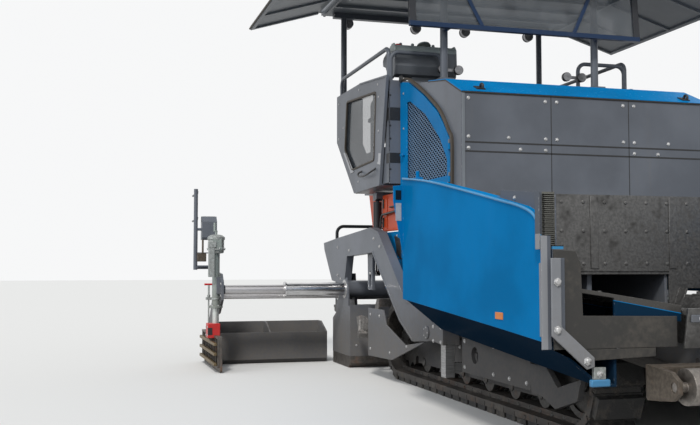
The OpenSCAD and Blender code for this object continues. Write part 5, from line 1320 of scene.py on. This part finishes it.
class PAVER_OT_console_trim(bpy.types.Operator):
    """Make the screen, keys, lever boots and stop button of the operators' console"""

    bl_idname = "paver.console_trim"
    bl_label = "Console"

    def execute(self, context):
        middle, top = -0.85, PLATFORM_TOP
        fall = -math.atan2(0.082, 0.235)
        about = np.array([-1.10, middle, top + 1.234])
        screen = bar(about + (-0.062, 0.16, -0.004), about + (0.062, 0.29, 0.006))
        make("console_screen", tipped(screen, fall, about), "dark screen", "tractor", 0.002)
        bezel = bar(about + (-0.072, 0.15, -0.006), about + (0.072, 0.30, 0.004))
        make("console_bezel", tipped(bezel, fall, about), "black plastic", "tractor", 0.003)
        keys = [about + (x, y, 0.001) for x in (-0.05, -0.015, 0.02, 0.055)
                for y in (-0.145, -0.095, -0.015, 0.015, 0.09, 0.125)]
        caps = tipped(studs(keys, 2, 1, 0.008, 0.008, 12, 1.15), fall, about)
        make("console_keys", caps, "yellow button", "tractor")
        boot = [(0.034, 0.0), (0.030, 0.010), (0.031, 0.014), (0.022, 0.026), (0.023, 0.030), (0.012, 0.044),
                (0.009, 0.050)]
        boots = [turned(boot, (-1.121, middle + y, top + 1.216), 2, 20) for y in (-0.18, -0.06, 0.15)]
        make("lever_boots", joined(boots), "black plastic", "tractor")
        button = [(0.024, 0.0), (0.024, 0.012), (0.030, 0.014), (0.030, 0.026), (0.022, 0.032),
                  (0.003, 0.033)]
        stop = turned(button, (-1.04, middle - 0.24, top + 1.252), 2, 20)
        make("stop_button", stop, "signal red", "tractor")
        return {"FINISHED"}


class PAVER_OT_lamps(bpy.types.Operator):
    """Make the rims and lenses of the work lamps"""

    bl_idname = "paver.lamps"
    bl_label = "Work lamps"

    def execute(self, context):
        # place of the lamp's face, its radius and which way it looks along x
        across, height = (-1.1, -0.3, 0.3, 1.1), 3.73
        faces = [((-0.255, y, height), 0.055, 1) for y in across]
        faces += [((-2.74, y, height), 0.055, -1) for y in across]
        faces += [((-0.838, y, 2.865), 0.042, 1) for y in (-0.723, -0.562, 0.562, 0.723)]
        # radius as a share of the lamp's, and height over its face
        rim = np.array([(0.86, 0.0), (0.86, 0.009), (0.94, 0.013), (1.06, 0.009), (1.06, -0.010),
                        (1.0, -0.012)])
        lens = np.array([(0.86, 0.0), (0.86, 0.004), (0.6, 0.008), (0.3, 0.010), (0.03, 0.011)])
        for name, profile, finish in (("lamp_rims", rim, "black plastic"), ("lamp_lenses", lens, "lens")):
            shapes = [turned(profile * (radius, way), place, 0, 28) for place, radius, way in faces]
            make(name, joined(shapes), finish, "tractor")
        return {"FINISHED"}


class PAVER_OT_canopy_trim(bpy.types.Operator):
    """Make the seams, rivets and rubber edges of the roof and its folding wings"""

    bl_idname = "paver.canopy_trim"
    bl_label = "Roof"

    def execute(self, context):
        bolt = context.scene.paver_sizes.bolt_radius
        (x0, _, z0), (x1, _, z1) = box("canopy_roof")
        seams = [bar((x - 0.004, -1.0, z1 - 0.002), (x + 0.004, 1.0, z1 + 0.003))
                 for x in row(x0 + 0.3, x1 - 0.3, 5)]
        make("roof_seams", joined(seams), "pale grey", "tractor")
        upper = [(x, y, z1) for x in row(x0 + 0.12, x1 - 0.12, 12) for y in (-0.94, 0.94)]
        lower = [(x, y, z0) for x in row(x0 + 0.2, x1 - 0.2, 8) for y in (-1.3, 1.3)]
        for name, heads, way in (("roof_rivets", upper, 1), ("lining_rivets", lower, -1)):
            make(name, studs(heads, 2, way, bolt * 0.6, 0.004, 8, 1.3), "bolt steel", "tractor")
        # slanting bars in front of the windscreen's pane, tipped about its foot
        foot = np.array([-0.52, 0.0, 3.17])
        slant = np.array([(-0.445, 0.040), (-0.485, 0.040), (-0.765, 0.602), (-0.725, 0.602)])
        bars = prism(slant + (0.0, foot[2]), foot[0] + 0.010, foot[0] + 0.019, 0)
        bars = tipped(bars, math.radians(-5), foot)
        make("windscreen_bars", both_sides(bars), "screen blue", "tractor", 0.002)
        # folding wings: rubber at the outer edge and rivets of the ribs
        hinge_y, hinge_z, slope = 1.44, 3.84, math.radians(17)

        def on_wing(sign, x, out, up):
            """A place on a folding wing: so far out from its hinge line and so far off its face."""
            y = hinge_y + out * math.cos(slope) + up * math.sin(slope)
            return (x, sign * y, hinge_z - out * math.sin(slope) + up * math.cos(slope))

        for side, sign in SIDES:
            body = "sun_wing_" + side
            edge = tube([on_wing(sign, x, 0.803, -0.011) for x in (-2.70, -0.30)], 0.011, 10, 0)
            make("sun_edge_" + side, edge, "seal rubber", body)
            heads = [on_wing(sign, x, out, 0.0) for x in row(-2.62, -0.38, 9) for out in row(0.10, 0.72, 4)]
            make("sun_rivets_" + side, studs(heads, 2, 1, bolt * 0.55, 0.005, 8, 1.3), "bolt steel", body)
        return {"FINISHED"}


# Hopper


class PAVER_OT_wing_trim(bpy.types.Operator):
    """Make the clamp plates, edges, blanks, ribs, bolts and reflectors of the hopper's wings"""

    bl_idname = "paver.wing_trim"
    bl_label = "Hopper wings"

    def execute(self, context):
        bolt = context.scene.paver_sizes.bolt_radius
        skin = WING_Y + 0.0005
        # clamp plate with its sloping leg, and the lip of the flap behind it, as y and z
        leg = [(1.648, 1.085), (1.594, 1.085), (1.594, 0.738), (1.409, 0.577), (1.409, 0.530), (1.452, 0.518),
               (1.648, 0.690)]
        lip = [(1.640, 0.735), (1.6205, 0.735), (1.6205, 0.618), (1.035, 0.618), (1.035, 0.572),
               (1.395, 0.560), (1.430, 0.530)]
        # rolled edge along the wing's top, paler blue for its painted highlight, as x and z
        top = [(0.700, 1.687), (1.26, 1.617), (1.94, 1.497), (2.37, 1.417), (2.63, 1.367), (2.795, 1.307),
               (2.858, 1.197), (2.888, 1.075)]
        clamp_places = ((1.615, 0.963), (1.617, 0.721), (1.450, 0.560))
        # places of the nose along x: its root, and the face of the plate on it
        nose_x, cheek_x = 2.921, 2.944
        for side, sign in SIDES:
            body = "wing_" + side
            front = box("hopper_wing_" + side)[1][0]
            plate = prism([(sign * y, z) for y, z in leg], front - 0.0092, front + 0.003, 0)
            make("clamp_plate_" + side, plate, "pale edge", body, 0.002)
            skirt = prism([(sign * y, z) for y, z in lip], front - 0.0315, front - 0.0200, 0)
            make("flap_lip_" + side, skirt, "flap rubber", body, 0.002)
            heads = [(front + 0.003, sign * y, z) for y, z in clamp_places]
            make("clamp_bolts_" + side, studs(heads, 0, 1, bolt * 1.5, 0.015, 6, 1.35), "bolt steel", body)
            # the nose in paler blue, a painted highlight
            nose = side_bar(sign, (nose_x, 2.950), (1.307, 1.417), (0.424, 0.462))
            make("wing_nose_" + side, nose, "highlight blue", body, 0.006)
            cheek = side_bar(sign, (nose_x, cheek_x), (1.331, 1.399), (0.462, 0.524))
            make("nose_plate_" + side, cheek, "galvanised", body, 0.002)
            head = studs([(cheek_x, sign * 1.365, 0.490)], 0, 1, bolt * 1.2, 0.012)
            make("nose_bolt_" + side, head, "bolt steel", body)
            edge = carried(circle(0.0085, 8), smooth(on_side(top, sign * skin), 4), (0, 1, 0))
            make("wing_edge_" + side, edge, "highlight blue", body)
            # blank plates at the rear corner, an upper and a lower one
            for name, finish, low, high in (("rear_blank_", "dark screen", 1.530, 1.600),
                                            ("rear_blank_low_", "strip", 1.375, 1.505)):
                make(name + side, side_bar(sign, (0.701, 0.704), (1.665, 1.709), (low, high)), finish, body)
            # fine ribs between those of the slide
            fine = [side_bar(sign, (2.860, 2.889), (1.586, 1.641), (z, z + 0.0045))
                    for z in row(1.1532, 1.4052, 13)]
            make("slide_ribs_" + side, joined(fine), "rib grey", body)
            heads = [(2.8965, sign * 1.656, z) for z in (0.72, 0.88, 1.02)]
            heads += [(x, sign * 1.596, z) for x, z in ((2.10, 1.40), (2.45, 1.425), (2.75, 1.40))]
            make("strip_bolts_" + side, studs(heads, 1, sign, bolt, 0.008), "bolt steel", body)
            lamp = side_bar(sign, (2.30, 2.40), (1.650, 1.654), (0.742, 0.782))
            make("reflector_" + side, lamp, "reflector", body, 0.002)
            heads = [(x, sign * y, 0.837 + (y - WING_FLOOR_Y) * WING_FLOOR_SLOPE)
                     for x in row(0.85, 2.75, 8) for y in (0.95, 1.25, 1.5)]
            floor_bolts = studs(heads, 2, 1, bolt * 1.1, 0.004, 10, 1.3)
            make("wing_floor_bolts_" + side, floor_bolts, "hopper steel", body)
            nipples = [(x, sign * 0.82, 0.834) for x in (1.14, 1.70, 2.26)]
            make("grease_nipples_" + side, studs(nipples, 2, 1, 0.006, 0.014, 8), "bolt steel", body)
        return {"FINISHED"}


class PAVER_OT_hopper_trim(bpy.types.Operator):
    """Make the bolts and straps of the hopper's rear wall and the clamp strip of its apron"""

    bl_idname = "paver.hopper_trim"
    bl_label = "Hopper"

    def execute(self, context):
        bolt = context.scene.paver_sizes.bolt_radius
        face = 0.585
        heads = [(face, y, z) for y in row(-1.05, 1.05, 12) for z in (1.06, 1.32, 1.55)]
        make("rear_wall_bolts", studs(heads, 0, 1, bolt * 1.1, 0.006, 10, 1.4), "hopper steel", "tractor")
        straps = [bar((face, y - 0.035, 1.02), (face + 0.008, y + 0.035, 1.60)) for y in (-0.72, 0.0, 0.72)]
        make("rear_wall_straps", joined(straps), "hopper steel", "tractor", 0.003)
        # clamp strip over the apron's rubber, and its bolts
        (_, right, _), (tip, left, top) = box("hopper_apron")
        clamp = bar((tip - 0.012, right + 0.02, top - 0.075), (tip + 0.001, left - 0.02, top - 0.035))
        make("apron_clamp", clamp, "frame grey", "hopper_apron", 0.002)
        heads = [(tip + 0.001, y, top - 0.055) for y in row(right + 0.08, left - 0.08, 11)]
        make("apron_bolts", studs(heads, 0, 1, bolt, 0.008), "bolt steel", "hopper_apron")
        return {"FINISHED"}


# Tracks and tow arms


def track_places(count, radius):
    """Places round the track's loop at equal steps: along the bottom, round the front wheel, back
    along the top and round the rear wheel, at radius from the axles' line."""
    run = IDLER_X - SPROCKET_X
    half = math.pi * radius
    s = (np.arange(count) + 0.5) * (2 * run + 2 * half) / count
    front, back = (s - run) / radius, (s - 2 * run - half) / radius
    parts = [s < run, s < run + half, s < 2 * run + half]
    x = np.select(parts, [SPROCKET_X + s, IDLER_X + radius * np.sin(front), IDLER_X - (s - run - half)],
                  SPROCKET_X - radius * np.sin(back))
    z = np.select(parts, [-radius + 0 * s, -radius * np.cos(front), radius + 0 * s], radius * np.cos(back))
    return np.stack([x, 0 * x, TRACK_AXLE + z], -1)


class PAVER_OT_track_trim(bpy.types.Operator):
    """Make the chain pins, roller caps, frame bolts and skirt bolts of the tracks"""

    bl_idname = "paver.track_trim"
    bl_label = "Tracks"

    def execute(self, context):
        bolt = context.scene.paver_sizes.bolt_radius
        pins = track_places(50, 0.268)
        ends = [studs(pins + (0, sign * TRACK_Y + way * 0.065, 0), 1, way, 0.013, 0.007, 10, 1.5)
                for _, sign in SIDES for way in (-1, 1)]
        make("chain_pins", joined(ends), "wheel steel", "tractor")
        cap = [(0.034, 0.0), (0.034, 0.006), (0.028, 0.010), (0.003, 0.012)]
        rollers = [turned(cap, (x, TRACK_Y + 0.075, 0.2088), 1, 20)
                   for x in row(SPROCKET_X + 0.48, IDLER_X - 0.48, 6)]
        make("roller_caps", both_sides(joined(rollers)), "wheel steel", "tractor")
        # bolts along each track frame, on the side skirts and on the deflector plates
        frame_heads = [(x, TRACK_Y + 0.074, 0.405) for x in row(-0.55, 1.75, 9)]
        make("track_frame_bolts", both_sides(studs(frame_heads, 1, 1, bolt, 0.009)), "bolt steel", "tractor")
        skirt = box("side_skirts")[1][1]
        skirt_heads = [(x, skirt, z) for x in row(0.78, 1.78, 5) for z in (0.30, 0.49) if abs(x - 0.96) > 0.1]
        plate = box("deflector_plates")[1][1]
        places = ((-1.33, 0.58), (-1.05, 0.58), (-1.33, 0.26), (-0.75, 0.27), (-0.30, 0.36))
        plate_heads = [(x, plate, z) for x, z in places]
        for name, heads in (("skirt_bolts", skirt_heads), ("deflector_bolts", plate_heads)):
            make(name, both_sides(studs(heads, 1, 1, bolt, 0.008)), "bolt steel", "tractor")
        return {"FINISHED"}


class PAVER_OT_tow_trim(bpy.types.Operator):
    """Make the pin caps, height scales, bolts and cylinder glands of the tow arms"""

    bl_idname = "paver.tow_trim"
    bl_label = "Tow arms"

    def execute(self, context):
        bolt = context.scene.paver_sizes.bolt_radius
        outer = box("tow_points")[1][1]
        pin = np.array([0.20, outer, 0.515])
        cap = turned([(0.055, 0.0), (0.055, 0.010), (0.046, 0.014), (0.003, 0.016)], pin, 1)
        make("tow_pin_caps", both_sides(cap), "frame grey", "tow_points")
        ring = bolt_circle(pin + (0, 0.010, 0), 0.042, row(0, 5.03, 5), 1)
        pin_bolts = studs(ring, 1, 1, bolt * 0.55, 0.007, 6, 1.2)
        make("tow_pin_bolts", both_sides(pin_bolts), "bolt steel", "tow_points")
        heads = [(x, outer, z) for x in (0.34, 0.50) for z in (0.46, 0.57)]
        make("tow_plate_bolts", both_sides(studs(heads, 1, 1, bolt, 0.009)), "bolt steel", "tow_points")
        # height scale with plain ticks on the guide post, every fifth of them long
        post = 1.248
        face = post + 0.002
        plate = bar((0.450, post, 0.70), (0.490, face, 0.94))
        ticks = [bar((0.455, face, z), (0.455 + (0.016 if i % 5 else 0.030), face + 0.001, z + 0.0025))
                 for i, z in enumerate(row(0.71, 0.93, 23))]
        make("height_scales", both_sides(plate), "yellow button", "tractor", slot="bare_steel")
        make("height_ticks", both_sides(joined(ticks)), "black plastic", "tractor")
        # bolts of the arm's side
        face = box("tow_arms")[1][1] - 0.005
        places = [(-1.30, 1.30), (-1.12, 1.22), (-2.15, 1.20), (-2.60, 1.24), (-2.60, 0.94), (-2.48, 0.90)]
        heads = [(x, face, z) for x, z in places]
        make("arm_bolts", both_sides(studs(heads, 1, 1, bolt * 1.1, 0.009)), "bolt steel", "screed")
        sleeve = [(0.0215, 0.0), (0.040, 0.0), (0.043, 0.006), (0.043, 0.026), (0.040, 0.030),
                  (0.0435, 0.032)]
        gland = turned(sleeve, (-1.665, 1.095, 1.262), 2)
        make("lift_glands", both_sides(gland), "bolt steel", "lift_cylinders")
        return {"FINISHED"}


# Screed


class PAVER_OT_screed_trim(bpy.types.Operator):
    """Make the red feet, jack heads, control boxes, forks and bolts of the screed"""

    bl_idname = "paver.screed_trim"
    bl_label = "Screed"

    def execute(self, context):
        bolt = context.scene.paver_sizes.bolt_radius
        jack_x, jack_y = JACK
        # outer end of the gate's red foot, and the rear face of the control box
        foot_end, rear = 2.698, -2.656
        for side, sign in SIDES:
            gate, arm = "end_gate_" + side, "extension_" + side
            foot = side_bar(sign, (jack_x - 0.080, jack_x + 0.083), (2.576, foot_end), (0.322, 0.466))
            make("gate_foot_" + side, foot, "signal red", gate, 0.005)
            notch_x = jack_x + 0.082
            notch = side_bar(sign, (notch_x, notch_x + 0.004), (2.655, foot_end + 0.002), (0.355, 0.425))
            make("gate_notch_" + side, notch, "black plastic", gate)
            ends = [(x, sign * foot_end, z) for x in (-2.325, -2.215) for z in (0.35, 0.43)]
            make("foot_bolts_" + side, studs(ends, 1, sign, bolt * 0.8, 0.007), "bolt steel", gate)
            # runners along the gate's outer side
            runners = [side_bar(sign, (-3.10, -1.972), (2.637, 2.668), (z, z + 0.030))
                       for z in (0.068, 0.165, 0.262)]
            make("gate_runners_" + side, joined(runners), "gold steel", gate, 0.004)
            # stepped head and clamp band of the jack, and the bolts of its two flanges
            centre = np.array([jack_x, sign * jack_y, 0.0])
            head = turned([(0.040, 1.165), (0.070, 1.168), (0.078, 1.178), (0.078, 1.196), (0.092, 1.200),
                           (0.092, 1.214), (0.080, 1.220), (0.080, 1.300), (0.088, 1.306), (0.088, 1.330),
                           (0.060, 1.350), (0.030, 1.356)], centre, 2, 32)
            band = turned([(0.038, 0.700), (0.043, 0.702), (0.043, 0.716), (0.038, 0.718)], centre, 2, 28)
            make("jack_head_" + side, joined([head, band]), "galvanised", arm)
            rings = [bolt_circle(centre + (0, 0, z), radius, row(0.3, 5.54, 6))
                     for z, radius in ((1.214, 0.085), (0.641, 0.058))]
            make("jack_bolts_" + side, studs(np.vstack(rings), 2, 1, bolt * 0.7, 0.009), "bolt steel", arm)
            # control box: plain screen and keys on its rear face, pale plate on its top
            pad = side_bar(sign, (rear - 0.003, rear), (2.59, 2.69), (1.42, 1.52))
            make("screed_screen_" + side, pad, "dark screen", arm, 0.002)
            keys = [(rear, sign * y, z) for y in row(2.585, 2.695, 5) for z in (1.345, 1.38)]
            make("screed_keys_" + side, studs(keys, 0, -1, 0.008, 0.006, 12, 1.2), "yellow button", arm)
            top = side_bar(sign, (-2.640, -2.605), (2.58, 2.70), (1.555, 1.558))
            make("screed_plate_" + side, top, "lens", arm, 0.001)
            # two forks on the mast: an arm to the rear with three upturned tines
            forks = []
            for z in (1.785, 1.515):
                root = np.array([-2.60, sign * 2.78, z])
                forks.append(tube([root + (0.01, 0, 0), root - (0.260, 0, 0)], 0.011, 10, 0, (0, 1, 0)))
                for back in (-0.100, -0.180, -0.252):
                    tine = [(back, 0, 0), (back, -0.024 * sign, 0.004), (back, -0.030 * sign, 0.040)]
                    forks.append(tube(root + tine, 0.008, 8, 5, (1, 0, 0)))
            make("tool_forks_" + side, joined(forks), "trim dark", arm)
            # braced bracket that carries the mast
            block = side_bar(sign, (-2.655, -2.560), (2.672, 2.765), (1.085, 1.175))
            brace = side_bar(sign, (-2.585, -2.555), (2.700, 2.718), (1.17, 1.312))
            make("mast_block_" + side, joined([block, brace]), "beam steel", arm, 0.004)
            channel = [side_bar(sign, (-2.640, -2.560), (2.648, 2.760), z)
                       for z in ((1.030, 1.046), (1.170, 1.180))]
            make("mast_channel_" + side, joined(channel), "screed grey", arm, 0.002)
            guide = side_bar(sign, (-2.205, -2.170), (2.640, 2.700), (0.93, 1.224))
            strut = side_bar(sign, (-2.245, -2.170), (2.622, 2.700), (1.225, 1.285))
            make("jack_guide_" + side, joined([guide, strut]), "galvanised", arm, 0.003)
            # hand spindle beside the jack
            hub = np.array([-2.43, sign * 2.662, 0.0])
            spindle = turned([(0.008, 0.458), (0.008, 0.72), (0.016, 0.722), (0.016, 0.745), (0.009, 0.747),
                              (0.009, 0.845), (0.004, 0.850)], hub, 2, 12)
            hold = side_bar(sign, (-2.455, -2.405), (2.570, 2.690), (0.695, 0.720))
            make("spindle_" + side, joined([spindle, hold]), "galvanised", arm)
            tee = tube([hub + (0, y, 0.852) for y in (-0.045, 0.045)], 0.010, 10, 0)
            make("spindle_handle_" + side, tee, "signal red", arm)
            # bolts along the extension's box and on the end bracket
            heads = [(-3.13, sign * y, z) for y in row(1.40, 2.50, 9) for z in (0.20, 0.38)]
            make("extension_bolts_" + side, studs(heads, 0, -1, bolt, 0.008), "bolt steel", arm)
            places = ((-2.20, 0.74), (-2.20, 0.86), (-2.42, 0.66), (-2.55, 0.90), (-2.85, 0.30))
            heads = [(x, sign * 2.570, z) for x, z in places]
            make("bracket_bolts_" + side, studs(heads, 1, sign, bolt * 1.1, 0.009), "bolt steel", arm)
        # main screed: cover plates with bolts over the heaters, and the tamper bar's shield
        cover_x, starts = -2.728, (-1.20, -0.60, 0.08, 0.68)
        covers = [bar((cover_x + 0.006, y, 0.18), (cover_x, y + 0.52, 0.44)) for y in starts]
        make("heater_covers", joined(covers), "frame grey", "screed", 0.002)
        heads = [(cover_x, y + dy, z) for y in starts for dy in (0.04, 0.48) for z in (0.21, 0.41)]
        make("cover_bolts", studs(heads, 0, -1, bolt, 0.008), "bolt steel", "screed")
        shield_x = -2.052
        shield = bar((shield_x - 0.008, -1.265, 0.20), (shield_x, 1.265, 0.26))
        make("tamper_strip", shield, "sole steel", "screed", 0.002)
        heads = [(shield_x, y, 0.23) for y in row(-1.2, 1.2, 17)]
        make("tamper_bolts", studs(heads, 0, 1, bolt, 0.008), "bolt steel", "screed")
        # glands where the rams and the middle tubes leave the main screed's sides
        ram = np.array([(0.0240, 0.0), (0.043, 0.0), (0.044, 0.001), (0.044, 0.004), (0.025, 0.005)])
        wide = np.array([(0.0690, 0.0), (0.095, 0.0), (0.096, 0.001), (0.096, 0.004), (0.0700, 0.005)])
        # profile, place along x, height, number of sides, and which way it points along y
        rings = ((ram, -2.42, 0.72, 24, 1), (ram, -2.52, 0.72, 24, -1),
                 (wide, *TUBE, 36, -1), (wide, *TUBE, 36, 1))
        glands = [collar(profile * (1, way), (x, way * SCREED_SIDE, z), 1, sides)
                  for profile, x, z, sides, way in rings]
        make("tube_glands", joined(glands), "bolt steel", "screed")
        return {"FINISHED"}


class PAVER_PT_panel(bpy.types.Panel):
    """Lists the paver's settings and the operators that make its pieces"""

    bl_idname = "PAVER_PT_panel"
    bl_label = "Asphalt paver"
    bl_space_type = "VIEW_3D"
    bl_region_type = "UI"
    bl_category = "Paver"

    def draw(self, context):
        for group in (context.scene.paver_colours, context.scene.paver_sizes):
            for key in group.__annotations__:
                self.layout.prop(group, key)
        for operator in OPERATORS:
            self.layout.operator(operator.bl_idname)


OPERATORS = (
    PAVER_OT_stage,
    PAVER_OT_finishes,
    PAVER_OT_seats,
    PAVER_OT_door_trim,
    PAVER_OT_hood_trim,
    PAVER_OT_body_trim,
    PAVER_OT_footwell_trim,
    PAVER_OT_platform_trim,
    PAVER_OT_console_trim,
    PAVER_OT_lamps,
    PAVER_OT_canopy_trim,
    PAVER_OT_wing_trim,
    PAVER_OT_hopper_trim,
    PAVER_OT_track_trim,
    PAVER_OT_tow_trim,
    PAVER_OT_screed_trim,
)
CLASSES = (PaverColours, PaverSizes, *OPERATORS, PAVER_PT_panel)


def register():
    """Makes the classes and the scene's two groups of settings known to Blender."""
    for item in CLASSES:
        bpy.utils.register_class(item)
    bpy.types.Scene.paver_colours = bpy.props.PointerProperty(type=PaverColours)
    bpy.types.Scene.paver_sizes = bpy.props.PointerProperty(type=PaverSizes)


def unregister():
    """Takes them out again."""
    del bpy.types.Scene.paver_sizes
    del bpy.types.Scene.paver_colours
    for item in reversed(CLASSES):
        bpy.utils.unregister_class(item)


def main():
    """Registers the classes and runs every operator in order."""
    register()
    for operator in OPERATORS:
        group, action = operator.bl_idname.split(".")
        getattr(getattr(bpy.ops, group), action)()


if __name__ == "__main__":
    main()
